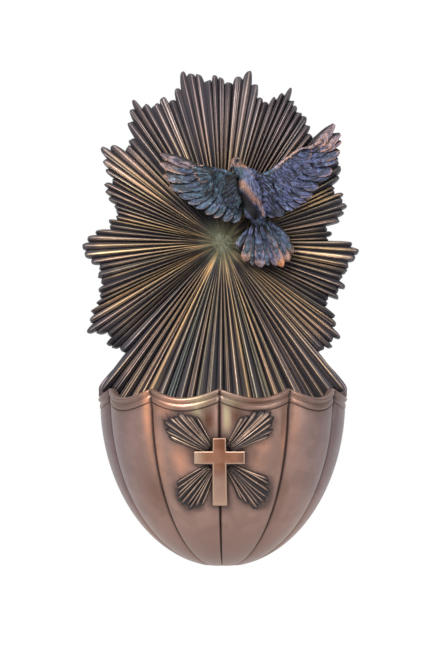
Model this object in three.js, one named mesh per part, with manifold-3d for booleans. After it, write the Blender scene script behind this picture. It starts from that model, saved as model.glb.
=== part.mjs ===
// Holy water stoup for a wall: a half-round bowl with six lobes, a sunburst plate that stands in it,
// a dove pinned in front of the sunburst, and a cross with four sprays of rays on the bowl's front.
// Millimetres, +Z up. The wall is the plane y = 0, the front looks along -Y, and the origin is the
// centre of the sunburst on the wall plane. The castings are glued and pinned with steel dowels.
import * as THREE from "three";
import { mergeVertices } from "three/addons/utils/BufferGeometryUtils.js";
import Module from "manifold-3d";

const wasm = await Module();
wasm.setup();

// Fits and dowels
const FIT = 0.3; // gap between pieces that are glued or pinned together
const PIN_RADIUS = 1.1; // steel dowels in the plate, the bowl and the dove's body
const PIN_DEPTH = 3.5; // how deep a dowel of the dove reaches into the plate and into the bird
const WING_PIN_RADIUS = 0.7; // thinner dowels in the wings and the tail
const WING_PIN_DEPTH = 2.6;
const PIN_SIDES = 12;

// Sunburst plate
const RAY_RISE = 2.1; // crest above the valleys, on a middling ray
const RAY_RISE_SPREAD = 0.35; // share by which a crest may stand higher or lower
const RAY_SEED = 11; // for the uneven crests
const RAY_NOTCH = 1.5; // depth of the notch between the ends of two rays
const RAY_BEVEL = 3; // length of the sloping end of a ray
const VALLEY_BEVEL = 0.6; // and of a valley
const CREST_SHARE = 0.42; // crest against the ray's width
const HUB_RADIUS = 4.6; // smooth boss where the rays meet
const HUB_RISE = 0.7;
// How a crest climbs on its way out from the boss: share of the way, share of its height.
const CREST_CLIMB = [[0, 0.3], [0.35, 0.9]];
const PLATE_CENTRE = 8; // depth of the valleys from the wall, at the middle
const PLATE_EDGE = 5.6; // and at PLATE_SPAN from the middle
const PLATE_SPAN = 95;
const END_SHARE = 0.6; // depth of a ray's end against the valley beside it
// The rays whose ends show: clockwise from straight up in degrees, and the reach.
const RAY_ENDS = [
  [2, 62.5], [5.5, 64.8], [8.6, 67.8], [12.5, 63], [14.6, 58.3], [17.5, 57.3], [19.5, 60], [21.8, 62.6],
  [23.8, 65.8], [26.2, 61.6], [28.2, 60.2], [30.3, 58.8], [33.7, 58.6], [36.3, 56.5], [39, 54.1], [42.4, 59],
  [46, 57.9], [50, 56.4], [54.5, 54.9], [58.3, 54.3], [60.8, 51.8], [63.5, 48.2], [65.2, 47.6], [67.6, 50.3],
  [70, 49.2], [73, 50.1], [76, 48.2], [78.6, 46], [82.3, 40.7], [85.3, 42.4], [88, 40.7], [90, 50],
  [93.6, 52.7], [97, 51.5], [100.5, 49.4], [103.5, 49.2], [106.2, 48], [109.8, 50.3], [112.8, 48.4],
  [115.3, 49.6], [118, 46.1], [120.5, 46.9], [123.5, 51.8], [125.6, 53.9], [129.4, 58.3], [131.6, 56.7],
  [134.3, 58.3], [136.6, 56.5], [138.8, 57.9],
  [224, 60.7], [226, 58.6], [228.2, 59.4], [231, 56.6], [233.6, 59.6], [236.7, 62.6], [239.8, 59.4],
  [242.2, 57.3], [244.2, 53.9], [246.4, 51.7], [249, 51.3], [252, 49.2], [255.9, 49.8], [259, 48.6],
  [261.5, 51.3], [265, 53.5], [269, 54.3], [272, 52.3], [275.8, 49.2], [278.4, 44.1], [281, 44.9],
  [284, 42.3], [286.6, 42.9], [288.8, 44.1], [291.4, 47.3], [294.4, 49.6], [297.2, 51.1], [300, 49.2],
  [302, 53.3], [304.6, 56.2], [307.8, 60], [311.8, 57.2], [315.5, 52.6], [318.2, 53.9], [322, 59.4],
  [325.8, 63], [327.8, 65.6], [330.6, 61.7], [334, 60], [337.8, 61.3], [340.8, 59], [343, 62.6],
  [346.8, 68.6], [349.2, 67.1], [352.3, 66.4], [355, 63.6], [357.5, 65.4], [359.6, 64.4],
];
// The rays between them run down into the bowl, as its tongue.
const TONGUE_RAYS = 20;
const TONGUE_SECTOR = 77; // degrees from the middle of its first ray to that of its last
const TONGUE_JITTER = 0.5; // share of a ray's width by which its place may vary
const TONGUE_DEPTH = 92; // how far the tongue reaches below the middle of the burst
const TONGUE_GAP = 1.2; // room between the tongue's sides and the bowl's inner wall

// Bowl
const LOBE_PAIRS = 3; // lobes on each side of the middle crease
const LOBE_ANGLE = 33.5; // degrees that a lobe spans, so the wall cuts the outermost ones short
const CREASE_RADIUS = 45.9; // plan radius at the creases between the lobes
const LOBE_BULGE = 1.6; // how far a lobe's middle stands out from its creases
const BOWL_WALL = 3;
const BACK_WALL = 3.6;
const EQUATOR_Z = -60; // the wall is upright above this height and an ellipse below it
const BOWL_DROP = 64.9; // half height of that ellipse
const BASE_Z = -123.8; // flat foot of the bowl
const BOWL_FLOOR = 4;
const RIM_PEAK_Z = -56; // rim at the creases
const SCALLOP_DEPTH = 3.4; // how far the rim dips in the middle of a lobe
const RIM_BEAD = 0.7; // how far the rim's bead stands out
const RIM_BEAD_HEIGHT = 1.9;
const RIM_BEAD_ROUND = 0.5; // height of the rounding at the top and bottom of the bead
const RIM_GROOVE = 0.45; // depth of the groove below the bead
const RIM_BAND_HEIGHT = 2.4; // plain band below the groove
const SHOULDER_TOP_Z = -44.5; // top of the bowl's back wall, behind the plate
const SHOULDER_REACH = 6.6; // how far the back wall's corners slope in from its sides
const SHOULDER_ROUND = 2; // rounding at the foot of that slope
const LOBE_STEPS = 7; // facets across a lobe
const BOWL_PIN_X = 22;
const BOWL_PIN_Z = -67;
const BOWL_PIN_BACK = 1.2; // wall left behind a dowel's blind end
const BOWL_PIN_DEPTH = 2; // how deep a dowel reaches into the tongue

// Cross and sprays of rays on the bowl
const CROSS_TOP_Z = -73.8;
const CROSS_BOTTOM_Z = -98.8;
const CROSS_ARM_Z = -81;
const CROSS_ARM_SPAN = 18.5;
const CROSS_ARM_HEIGHT = 4.7;
const CROSS_BAR_TOP = 4.9; // width of the upright at its top
const CROSS_BAR_FOOT = 5.6; // and at its foot
const CROSS_RISE = 2.5; // face of the cross above the lobes
const CROSS_CHAMFER = 0.6;
const CROSS_STEPS = 6; // facets down the upright, which follows the bowl
const SPRAY_RAYS = 7;
const SPRAY_RISE = 1.6; // crests of the sprays above the lobes
const SPRAY_VALLEY = 0.6; // valleys between their rays
const SPRAY_SINK = 1.5; // below the lobes, before the back is cut to fit them
const SPRAY_ROOT = 4.2; // where a spray starts, from the middle of the cross
const SPRAY_BEVEL = 1.4; // sloping end of a ray
const SPRAY_NOTCH = 2.6; // how much earlier the valleys end
const SPRAY_BOW = 0.16; // share by which the outer rays are shorter than the middle ones
const SPRAY_LENGTH_SPREAD = 0.1; // share by which a ray may be shorter
const SPRAY_RISE_SPREAD = 0.2; // share by which a crest may stand higher or lower
// Each spray: the angles of its first and last ray from +X, and the reach of its longest ray.
const SPRAYS = {
  ray_spray_upper_left: { from: 117, to: 156, reach: 25.2 },
  ray_spray_upper_right: { from: 63, to: 24, reach: 25 },
  ray_spray_lower_left: { from: 212, to: 249, reach: 24 },
  ray_spray_lower_right: { from: 332, to: 292, reach: 25 },
};

// Dove
const BODY_SIDES = 14;
const SEAT_SHARE = 0.5; // where the bird's back lies between the valleys and the crests
const DOVE_LIFT = 5.8; // middle of the bird in front of its back
const FEATHER_THICKNESS = 0.6; // a feather at its edges, and the step at the end of a row
const SHAFT_RISE = 0.6; // a feather's shaft above its edges
const FEATHER_TIP = 0.07; // share of the wing over which a feather's end slopes down
const WING_FEATHERS = 11;
// Rows of a wing from the bone: where they end towards the tips, their height in front of the wing's
// middle, and how much earlier the edges of their feathers end.
const WING_ROWS = [
  { end: 0.36, height: 2.1, notch: 0.07 },
  { end: 0.64, height: 1.4, notch: 0.07 },
  { end: 1, height: 0.7, notch: 0.08 },
];
const TAIL_FEATHERS = 10;
const TAIL_ROWS = [{ end: 1, height: 0.8, notch: 0.1 }];
const ARM_RADIUS = 1.8; // leading edge of a wing at the shoulder
const ARM_TIP_RADIUS = 0.6; // and at the wing's tip
const ARM_STEPS = 6;
const ARM_SIDES = 8;
const BEAK_LENGTH = 3;
const BEAK_RADIUS = 1.1;
const BEAK_SIDES = 8;
const BEAK_FLATNESS = 0.8;

// Hanger on the back
const HANGER_Z = 31;
const HANGER_WIDTH = 34;
const HANGER_HEIGHT = 13;
const HANGER_THICKNESS = 1.2;
const HANGER_SCREW_INSET = 4.6; // from the ends of the hanger
const KEYHOLE_RADIUS = 3.8;
const KEYHOLE_SLOT = 2.1; // half width of the slot above the round hole
const KEYHOLE_RISE = 4; // slot's round end above the round hole's centre
const POCKET_DEPTH = 3; // room behind the hanger for the head of the wall screw
const POCKET_ROOM = 1; // and beside the keyhole
const SCREW_RADIUS = 1;
const SCREW_HEAD_RADIUS = 2.1;
const SCREW_HEAD_HEIGHT = 1.1;
const SCREW_LENGTH = 4;
const SCREW_POINT = 1; // length of its point
const SCREW_HEAD_TAPER = 0.3; // how much smaller the head is at the front
const ARC_STEPS = 6; // facets of a rounded corner

// Finishes
const METAL = { roughness: 0.42, metalness: 0.75 };
const DARK_BRONZE = { color: 0x4a3c36, ...METAL };
const ROSE_BRONZE = { color: 0x94736a, ...METAL };
const BLUE_BRONZE = { color: 0x4c5878, ...METAL };
const STEEL = { color: 0xa9abae, roughness: 0.35, metalness: 1 };

// Joining and cutting

// A closed geometry as a solid, turned outwards if its faces look inwards.
function solid(geometry) {
  const bare = new THREE.BufferGeometry();
  bare.setAttribute("position", geometry.getAttribute("position"));
  bare.setIndex(geometry.index);
  const merged = mergeVertices(bare, 1e-4);
  const corners = [];
  for (let i = 0; i < merged.index.count; i += 3) {
    const [a, b, c] = [0, 1, 2].map((k) => merged.index.getX(i + k));
    if (a !== b && b !== c && c !== a) corners.push(a, b, c);
  }
  const make = (triVerts) => new wasm.Manifold(new wasm.Mesh({
    numProp: 3,
    vertProperties: new Float32Array(merged.getAttribute("position").array),
    triVerts: new Uint32Array(triVerts),
  }));
  const made = make(corners);
  return made.volume() >= 0 ? made : make(corners.reverse());
}

function union(solids) {
  return wasm.Manifold.union(solids);
}

function named(name, geometry, finish) {
  const mesh = new THREE.Mesh(geometry, new THREE.MeshStandardMaterial(finish));
  mesh.name = name;
  return mesh;
}

function meshOf(name, made, finish) {
  const { vertProperties, triVerts } = made.getMesh();
  const geometry = new THREE.BufferGeometry();
  geometry.setAttribute("position", new THREE.BufferAttribute(vertProperties, 3));
  geometry.setIndex(new THREE.BufferAttribute(triVerts, 1));
  geometry.computeVertexNormals();
  return named(name, geometry, finish);
}

function averageOf(ring) {
  const middle = new THREE.Vector3();
  ring.forEach((p) => middle.addScaledVector(p, 1 / ring.length));
  return middle;
}

// A skin over rings of equally many points, closed at both ends by a fan to a middle point.
function loft(rings, first = averageOf(rings[0]), last = averageOf(rings.at(-1))) {
  const sides = rings[0].length;
  const points = rings.flat();
  const index = [];
  for (let r = 0; r + 1 < rings.length; r++) {
    for (let i = 0; i < sides; i++) {
      const [a, b] = [r * sides + i, r * sides + ((i + 1) % sides)];
      index.push(a, b, b + sides, a, b + sides, a + sides);
    }
  }
  const top = (rings.length - 1) * sides;
  const [start, end] = [points.push(first) - 1, points.push(last) - 1];
  for (let i = 0; i < sides; i++) {
    const next = (i + 1) % sides;
    index.push(next, i, start, top + i, top + next, end);
  }
  const geometry = new THREE.BufferGeometry().setFromPoints(points);
  geometry.setIndex(index);
  return solid(geometry);
}

function box(low, high) {
  const size = new THREE.Vector3().subVectors(high, low);
  const middle = new THREE.Vector3().addVectors(low, high).multiplyScalar(0.5);
  return solid(new THREE.BoxGeometry(size.x, size.y, size.z).translate(middle.x, middle.y, middle.z));
}

// A cylinder mesh from one point to another, placed by its position and rotation.
function dowel(name, start, end, radius) {
  const along = new THREE.Vector3().subVectors(end, start);
  const mesh = named(name, new THREE.CylinderGeometry(radius, radius, along.length(), PIN_SIDES), STEEL);
  mesh.position.addVectors(start, end).multiplyScalar(0.5);
  mesh.quaternion.setFromUnitVectors(new THREE.Vector3(0, 1, 0), along.normalize());
  return mesh;
}

// The hole that a dowel sits in, with the fit all round.
function holeFor(pin) {
  const { radiusTop, height } = pin.geometry.parameters;
  const geometry = new THREE.CylinderGeometry(radiusTop + FIT, radiusTop + FIT, height + 2 * FIT, PIN_SIDES);
  pin.updateMatrix();
  return solid(geometry.applyMatrix4(pin.matrix));
}

const vec = (x, y, z) => new THREE.Vector3(x, y, z);
const radians = THREE.MathUtils.degToRad;
const mix = THREE.MathUtils.lerp;

// Small repeatable random numbers from 0 to 1
function randomFrom(seed) {
  let state = seed;
  return () => {
    state = (state * 16807) % 2147483647;
    return (state - 1) / 2147483646;
  };
}

// Bowl

// How much of its full plan the bowl has at a height: all of it above the equator, an ellipse below.
function planShare(z) {
  const drop = Math.min(0, z - EQUATOR_Z) / BOWL_DROP;
  return Math.sqrt(Math.max(0, 1 - drop * drop));
}

// Where an angle from straight ahead lies in its lobe, 0 and 1 at the creases.
function placeInLobe(angle) {
  const lobes = Math.abs(angle) / radians(LOBE_ANGLE);
  return lobes - Math.floor(lobes);
}

function lobeRadius(angle) {
  const across = 2 * placeInLobe(angle) - 1;
  return CREASE_RADIUS + LOBE_BULGE * (1 - across * across);
}

function rimHeight(angle) {
  return RIM_PEAK_Z - SCALLOP_DEPTH * Math.sin(Math.PI * placeInLobe(angle));
}

// The front of the bowl at a place seen from straight ahead, as its distance from the wall.
function bowlDepth(x, z) {
  const share = planShare(z);
  let angle = Math.asin(x / (share * CREASE_RADIUS));
  for (let i = 0; i < 6; i++) angle = Math.asin(x / (share * lobeRadius(angle)));
  return share * lobeRadius(angle) * Math.cos(angle);
}

// The lobed body between the rim and a flat foot, closed behind the wall plane. Each level is a drop
// below the rim in millimetres, or a share of the way down to the foot, and how far it stands out.
function lobedBody(levels, footZ, offset, lift = 0) {
  const steps = LOBE_PAIRS * LOBE_STEPS;
  return loft(levels.map(({ drop = 0, share = 0, out = 0 }) =>
    Array.from({ length: 2 * steps + 1 }, (_, i) => {
      const angle = (radians(LOBE_ANGLE) * (i - steps)) / LOBE_STEPS;
      const rim = rimHeight(angle) + lift;
      const z = mix(rim - drop, footZ, share);
      const radius = planShare(z) * lobeRadius(angle) + offset + out;
      return vec(radius * Math.sin(angle), -radius * Math.cos(angle), z);
    })));
}

const FLANK = [0.12, 0.26, 0.4, 0.53, 0.65, 0.76, 0.86, 0.94, 1]; // shares of the way down to the foot
const WIDE = 200; // reaches past the object on every side

function bowlSkin(offset) {
  const groove = RIM_BEAD_HEIGHT + RIM_GROOVE;
  const rim = [
    { drop: 0, out: 0 },
    { drop: RIM_BEAD_ROUND, out: RIM_BEAD },
    { drop: RIM_BEAD_HEIGHT - RIM_BEAD_ROUND, out: RIM_BEAD },
    { drop: groove, out: -RIM_GROOVE },
    { drop: groove + RIM_GROOVE, out: 0 },
    { drop: groove + RIM_BAND_HEIGHT, out: 0 },
  ];
  const below = groove + RIM_BAND_HEIGHT;
  const flank = FLANK.map((share) => ({ drop: below, share }));
  return lobedBody([...rim, ...flank], BASE_Z, offset);
}

function bowlHollow() {
  const clear = SCALLOP_DEPTH + 2; // the cut rises past the rim
  const levels = [{ drop: 0 }, ...FLANK.map((share) => ({ drop: clear, share }))];
  return lobedBody(levels, BASE_Z + BOWL_FLOOR, -BOWL_WALL, clear);
}

// The back wall's corners above the rim, which slope in behind the plate.
function shoulders() {
  const half = lobeRadius(Math.PI / 2) + RIM_BEAD;
  const inner = half - SHOULDER_REACH;
  const [low, corner] = [EQUATOR_Z, RIM_PEAK_Z];
  const outline = new THREE.Shape();
  outline.moveTo(-half, low);
  outline.lineTo(half, low);
  outline.lineTo(half, corner);
  outline.quadraticCurveTo(half, corner + SHOULDER_ROUND, inner, SHOULDER_TOP_Z);
  outline.lineTo(-inner, SHOULDER_TOP_Z);
  outline.quadraticCurveTo(-half, corner + SHOULDER_ROUND, -half, corner);
  const flat = { depth: BACK_WALL, bevelEnabled: false, curveSegments: ARC_STEPS };
  return solid(new THREE.ExtrudeGeometry(outline, flat).rotateX(Math.PI / 2));
}

const bowlPins = [-1, 1].map((side) => {
  const x = side * BOWL_PIN_X;
  const name = side < 0 ? "bowl_dowel_left" : "bowl_dowel_right";
  const [back, front] = [BOWL_PIN_BACK, BACK_WALL + BOWL_PIN_DEPTH];
  return dowel(name, vec(x, -back, BOWL_PIN_Z), vec(x, -front, BOWL_PIN_Z), PIN_RADIUS);
});

function makeBowl() {
  const front = box(vec(-WIDE, -WIDE, -WIDE), vec(WIDE, 0, WIDE));
  const room = box(vec(-WIDE, -WIDE, -WIDE), vec(WIDE, -BACK_WALL, WIDE));
  const shell = bowlSkin(0).intersect(front).add(shoulders()).subtract(bowlHollow().intersect(room));
  return bowlPins.reduce((made, pin) => made.subtract(holeFor(pin)), shell);
}

// Sunburst plate

// The reach of a ray that runs down inside the bowl, at an angle from straight down.
function tongueReach(angle) {
  const [across, down] = [Math.abs(Math.sin(angle)), Math.cos(angle)];
  const half = CREASE_RADIUS - BOWL_WALL - TONGUE_GAP;
  const drop = BOWL_DROP - BOWL_FLOOR - TONGUE_GAP;
  const toSide = half / Math.max(across, 1e-6);
  const a = (across / half) ** 2 + (down / drop) ** 2;
  const b = (down * -EQUATOR_Z) / drop ** 2;
  const c = (EQUATOR_Z / drop) ** 2 - 1;
  const toEllipse = (b + Math.sqrt(Math.max(0, b * b - a * c))) / a;
  const toWall = toSide * down < -EQUATOR_Z ? toSide : toEllipse;
  return Math.min(TONGUE_DEPTH / down, toWall);
}

function valleyDepth(radius) {
  return mix(PLATE_CENTRE, PLATE_EDGE, Math.min(1, (radius / PLATE_SPAN) ** 2));
}

// All the rays in order round the burst, each with its angle, its reach and the height of its crest.
function makeRays() {
  const random = randomFrom(RAY_SEED);
  const step = TONGUE_SECTOR / (TONGUE_RAYS - 1);
  const tongue = Array.from({ length: TONGUE_RAYS }, (_, i) => {
    const angle = radians(180 - TONGUE_SECTOR / 2 + step * (i + TONGUE_JITTER * (random() - 0.5)));
    return { angle, reach: tongueReach(angle - Math.PI) };
  });
  const shown = RAY_ENDS.map(([degrees, reach]) => ({ angle: radians(degrees), reach }));
  return [...shown, ...tongue].sort((a, b) => a.angle - b.angle).map((ray) => {
    const rise = RAY_RISE * (1 + RAY_RISE_SPREAD * (2 * random() - 1));
    return { ...ray, rise };
  });
}

// The plate's front runs outwards along columns: a valley before each ray and both sides of its crest.
function plateColumns() {
  const all = makeRays();
  return all.flatMap(({ angle, reach, rise }, i) => {
    const before = all.at(i - 1);
    const after = all[(i + 1) % all.length];
    const gapBefore = (angle - before.angle + 2 * Math.PI) % (2 * Math.PI);
    const gapAfter = (after.angle - angle + 2 * Math.PI) % (2 * Math.PI);
    const notch = Math.min(reach, before.reach) - RAY_NOTCH;
    return [
      { angle: angle - gapBefore / 2, reach: notch, rise: 0, bevel: VALLEY_BEVEL },
      { angle: angle - (CREST_SHARE * gapBefore) / 2, reach, rise, bevel: RAY_BEVEL },
      { angle: angle + (CREST_SHARE * gapAfter) / 2, reach, rise, bevel: RAY_BEVEL },
    ];
  });
}

// The plate before its back is cut, or grown at the front for a piece that has to clear it.
function platePleats(grow = 0) {
  const columns = plateColumns();
  const ring = (radiusOf, depthOf) => columns.map((column) => {
    const radius = radiusOf(column);
    return vec(radius * Math.sin(column.angle), -depthOf(column, radius), radius * Math.cos(column.angle));
  });
  const hubTop = PLATE_CENTRE + HUB_RISE + grow;
  const crestAt = (share) => (column, radius) => valleyDepth(radius) + column.rise * share + grow;
  const end = (column) => column.reach;
  const climb = CREST_CLIMB.map(([way, share]) =>
    ring((column) => mix(HUB_RADIUS, column.reach, way), crestAt(share)));
  return loft([
    ring(() => HUB_RADIUS / 2, () => hubTop - HUB_RISE / 4),
    ...climb,
    ring((column) => column.reach - column.bevel, crestAt(1)),
    ring(end, (column, radius) => valleyDepth(radius) * END_SHARE),
    ring(end, () => 0),
  ], vec(0, -hubTop, 0), vec(0, 0, 0));
}

// Hanger: a steel plate with a keyhole, in a recess of the plate's back, and its two screws
const hangerBack = SCREW_HEAD_HEIGHT + FIT; // the screw heads stay inside the wall plane
const hangerFront = hangerBack + HANGER_THICKNESS;
const hangerScrewX = HANGER_WIDTH / 2 - HANGER_SCREW_INSET;

function stadium(halfWidth, halfHeight, x = 0, z = 0) {
  const end = halfWidth - halfHeight;
  const outline = new THREE.Shape();
  outline.absarc(x + end, z, halfHeight, -Math.PI / 2, Math.PI / 2);
  outline.absarc(x - end, z, halfHeight, Math.PI / 2, (3 * Math.PI) / 2);
  return outline;
}

// A flat piece drawn in X and Z at the hanger's height, from one distance off the wall to another.
function slab(outline, near, far) {
  const flat = { depth: far - near, bevelEnabled: false, curveSegments: ARC_STEPS };
  return new THREE.ExtrudeGeometry(outline, flat).rotateX(Math.PI / 2).translate(0, -near, HANGER_Z);
}

function makeHanger() {
  const outline = stadium(HANGER_WIDTH / 2, HANGER_HEIGHT / 2);
  const keyhole = new THREE.Path();
  const neck = Math.acos(KEYHOLE_SLOT / KEYHOLE_RADIUS);
  const low = -KEYHOLE_RISE / 2;
  keyhole.absarc(0, low, KEYHOLE_RADIUS, Math.PI - neck, 2 * Math.PI + neck);
  keyhole.absarc(0, low + KEYHOLE_RISE, KEYHOLE_SLOT, 0, Math.PI);
  const screwHoles = [-1, 1].map((side) => {
    const hole = new THREE.Path();
    hole.absarc(side * hangerScrewX, 0, SCREW_RADIUS + FIT, 0, 2 * Math.PI);
    return hole;
  });
  outline.holes.push(keyhole, ...screwHoles);
  return slab(outline, hangerBack, hangerFront);
}

function hangerRecess() {
  const seat = slab(stadium(HANGER_WIDTH / 2 + FIT, HANGER_HEIGHT / 2 + FIT), -1, hangerFront + FIT);
  const reach = KEYHOLE_RADIUS + KEYHOLE_RISE / 2 + POCKET_ROOM;
  const pocket = slab(stadium(reach + POCKET_ROOM, reach), -1, hangerFront + POCKET_DEPTH);
  return solid(seat).add(solid(pocket));
}

const screwTip = SCREW_HEAD_HEIGHT + SCREW_LENGTH;
const screwProfile = [
  [0, 0], [SCREW_HEAD_RADIUS, 0], [SCREW_HEAD_RADIUS - SCREW_HEAD_TAPER, SCREW_HEAD_HEIGHT],
  [SCREW_RADIUS, SCREW_HEAD_HEIGHT], [SCREW_RADIUS, screwTip - SCREW_POINT], [0, screwTip],
].map(([r, along]) => new THREE.Vector2(r, along));

function hangerScrew(name, x) {
  const geometry = new THREE.LatheGeometry(screwProfile, PIN_SIDES).rotateX(Math.PI);
  const screw = meshOf(name, solid(geometry), STEEL);
  screw.position.set(x, 0, HANGER_Z);
  return screw;
}

function screwHole(x) {
  const depth = SCREW_HEAD_HEIGHT + SCREW_LENGTH + FIT;
  const geometry = new THREE.CylinderGeometry(SCREW_RADIUS + FIT, SCREW_RADIUS + FIT, depth, PIN_SIDES);
  return solid(geometry.translate(x, -depth / 2, HANGER_Z));
}

// Dove

const seatDepth = PLATE_CENTRE + RAY_RISE * SEAT_SHARE; // flat back of the bird, cut to clear the crests
const doveDepth = seatDepth + DOVE_LIFT;

// The bird's spine from the vent to the crown: place, half width and half depth.
const SPINE = {
  vent: { x: 14.6, z: 5.6, out: -2.4, wide: 2.2, deep: 2 },
  rump: { x: 13.9, z: 8.8, out: -1.4, wide: 3, deep: 3 },
  belly: { x: 12.6, z: 13, out: 0, wide: 4.3, deep: 4.8 },
  breast: { x: 11.2, z: 18, out: 0.8, wide: 5.7, deep: 5.8 },
  shoulder: { x: 9.9, z: 22.4, out: 0.8, wide: 5.4, deep: 5.2 },
  neck: { x: 8.2, z: 25.8, out: 1.1, wide: 3.6, deep: 3.6 },
  nape: { x: 7, z: 28.4, out: 1.8, wide: 2.5, deep: 2.7 },
  crown: { x: 6.5, z: 30, out: 2.2, wide: 2, deep: 2.2 },
};
const HEAD = { x: 6.4, z: 30.3, out: 2.4 };
const HEAD_RADIUS = 2.8;
const HEAD_RINGS = 9;
const HEAD_SCALE = [0.95, 0.9, 1.02]; // across, front to back and up
const BEAK_ROOT = { x: 4.6, z: 29.2, out: 3.2 };
const BEAK_TURN = 236; // direction of the beak from +X, in the front view

function spinePoint({ x, z, out }) {
  return vec(x, -(doveDepth + out), z);
}

function bodyLoft(grow) {
  const stations = Object.values(SPINE);
  const spine = stations.map(spinePoint);
  const rings = stations.map(({ wide, deep }, i) => {
    const [before, after] = [spine[Math.max(i - 1, 0)], spine[Math.min(i + 1, spine.length - 1)]];
    const along = vec(0, 0, 0).subVectors(after, before).normalize();
    const side = vec(0, 0, 0).crossVectors(along, vec(0, -1, 0)).normalize();
    const front = vec(0, 0, 0).crossVectors(side, along);
    return Array.from({ length: BODY_SIDES }, (_, k) => {
      const turn = (2 * Math.PI * k) / BODY_SIDES;
      return spine[i].clone()
        .addScaledVector(side, (wide + grow) * Math.cos(turn))
        .addScaledVector(front, (deep + grow) * Math.sin(turn));
    });
  });
  return loft(rings);
}

function head() {
  const middle = spinePoint(HEAD);
  const ball = new THREE.SphereGeometry(HEAD_RADIUS, BODY_SIDES, HEAD_RINGS).scale(...HEAD_SCALE);
  return solid(ball.translate(middle.x, middle.y, middle.z));
}

function beak() {
  const cone = new THREE.ConeGeometry(BEAK_RADIUS, BEAK_LENGTH, BEAK_SIDES);
  cone.scale(1, 1, BEAK_FLATNESS).translate(0, BEAK_LENGTH / 4, 0);
  cone.rotateZ(radians(BEAK_TURN) - Math.PI / 2).rotateX(Math.PI / 2);
  const root = spinePoint(BEAK_ROOT);
  return solid(cone.translate(root.x, root.y, root.z));
}

// A place on the bird: across, how far in front of its middle, and up.
const onBird = ([x, out, z]) => vec(x, -(doveDepth + out), z);
const curveOf = (places) => new THREE.CatmullRomCurve3(places.map(onBird));

// A sheet of feathers side by side between two curves. Its columns are by turns a feather's edge and
// its shaft, and each row of feathers ends in a step down to the next row, shorter at the edges.
function feathers(rootCurve, tipCurve, count, rows) {
  const last = 2 * count;
  return loft(Array.from({ length: last + 1 }, (_, column) => {
    const [root, tip] = [rootCurve.getPoint(column / last), tipCurve.getPoint(column / last)];
    const at = (share, height) => root.clone().lerp(tip, share).add(vec(0, -height, 0));
    const steps = rows.flatMap(({ end, height, notch }, row) => {
      const shaft = (column + row + rows.length) % 2 === 0;
      const stop = shaft ? end : end - notch;
      return [
        at(stop - FEATHER_TIP, height + (shaft ? SHAFT_RISE : 0)),
        at(stop, height - FEATHER_THICKNESS),
      ];
    });
    const shaft = column % 2 === 1;
    const stop = 1 - (shaft ? 0 : rows.at(-1).notch);
    const back = rows.at(-1).height - 2 * FEATHER_THICKNESS;
    return [at(0, rows[0].height), ...steps, at(stop, back), at(0, back)];
  }));
}

function wingArm(leading) {
  const edge = curveOf(leading).getPoints(ARM_STEPS);
  return loft(edge.map((p, i) => {
    const radius = mix(ARM_RADIUS, ARM_TIP_RADIUS, i / ARM_STEPS);
    return Array.from({ length: ARM_SIDES }, (_, k) => {
      const turn = (2 * Math.PI * k) / ARM_SIDES;
      return p.clone().add(vec(0, radius * Math.cos(turn), radius * Math.sin(turn)));
    });
  }));
}

function wing({ bone, trailing, leading }) {
  return feathers(curveOf(bone), curveOf(trailing), WING_FEATHERS, WING_ROWS).add(wingArm(leading));
}

const LEFT_WING = {
  bone: [[-12, 2, 28.4], [-6, 1.8, 27.2], [0, 1, 24.4], [6, 0.2, 19.5]],
  trailing: [
    [-23.4, 1, 33.6], [-22.9, 0.8, 27], [-18.6, 0.6, 19.2],
    [-11, 0.2, 12.6], [-2.4, -0.4, 8.4], [6.8, -0.8, 6.8],
  ],
  leading: [[6.4, 0.6, 22.8], [0.2, 1.6, 26], [-6.6, 2.3, 28.4], [-13, 2.3, 29], [-20, 1.5, 31.8]],
};
const RIGHT_WING = {
  bone: [[33.4, 2.6, 36], [28, 2.2, 33], [21.5, 1.2, 27.4], [14.5, 0.2, 20]],
  trailing: [
    [43.8, 1.6, 44], [45.6, 1.4, 36.8], [42.2, 1, 26.4],
    [33.8, 0.4, 16], [24.8, -0.4, 10.2], [16.8, -0.8, 7.8],
  ],
  leading: [[12.8, 0.6, 23.8], [20.6, 1.8, 28.6], [28, 2.6, 33.6], [34.6, 2.8, 37.4], [41.4, 2, 42]],
};
const TAIL_ROOTS = [[12.9, -2.4, 7.2], [14.6, -2.2, 6.8], [16.1, -2.4, 7]];
const TAIL_TIPS = [
  [5.8, -3, -1.6], [8.4, -3, -6.6], [14.6, -2.8, -9.2], [22, -2.8, -9.2], [26.6, -3, -6.6], [28, -3, -2.6],
];

function tailFan() {
  return feathers(curveOf(TAIL_ROOTS), curveOf(TAIL_TIPS), TAIL_FEATHERS, TAIL_ROWS);
}

// Dowels: two from the plate into the bird, one in each wing and one in the tail
function plateDowel(name, { x, z }) {
  const [inBird, inPlate] = [seatDepth + PIN_DEPTH, PLATE_CENTRE - PIN_DEPTH];
  return dowel(name, vec(x, -inBird, z), vec(x, -inPlate, z), PIN_RADIUS);
}

const dovePins = [plateDowel("dove_dowel_upper", SPINE.breast), plateDowel("dove_dowel_lower", SPINE.belly)];

function wingDowel(name, inside, outside) {
  const joint = vec(0, 0, 0).addVectors(inside, outside).multiplyScalar(0.5);
  const along = vec(0, 0, 0).subVectors(outside, inside).normalize().multiplyScalar(WING_PIN_DEPTH);
  return dowel(name, joint.clone().sub(along), joint.clone().add(along), WING_PIN_RADIUS);
}

// How far a wing's dowel climbs from the middle of the shoulder: forwards and up
const LEFT_PIN_CLIMB = [0.4, 1.4];
const RIGHT_PIN_CLIMB = [0.6, 3];
const TAIL_PIN = { inside: [14.1, -2.3, 8.4], outside: [15, -2.4, 2.4] };

function shoulderDowel(name, side, [forward, up]) {
  const { x, z, out, wide } = SPINE.shoulder;
  return wingDowel(name, onBird([x, out, z]), onBird([x + side * 2 * wide, out + forward, z + up]));
}

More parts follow.
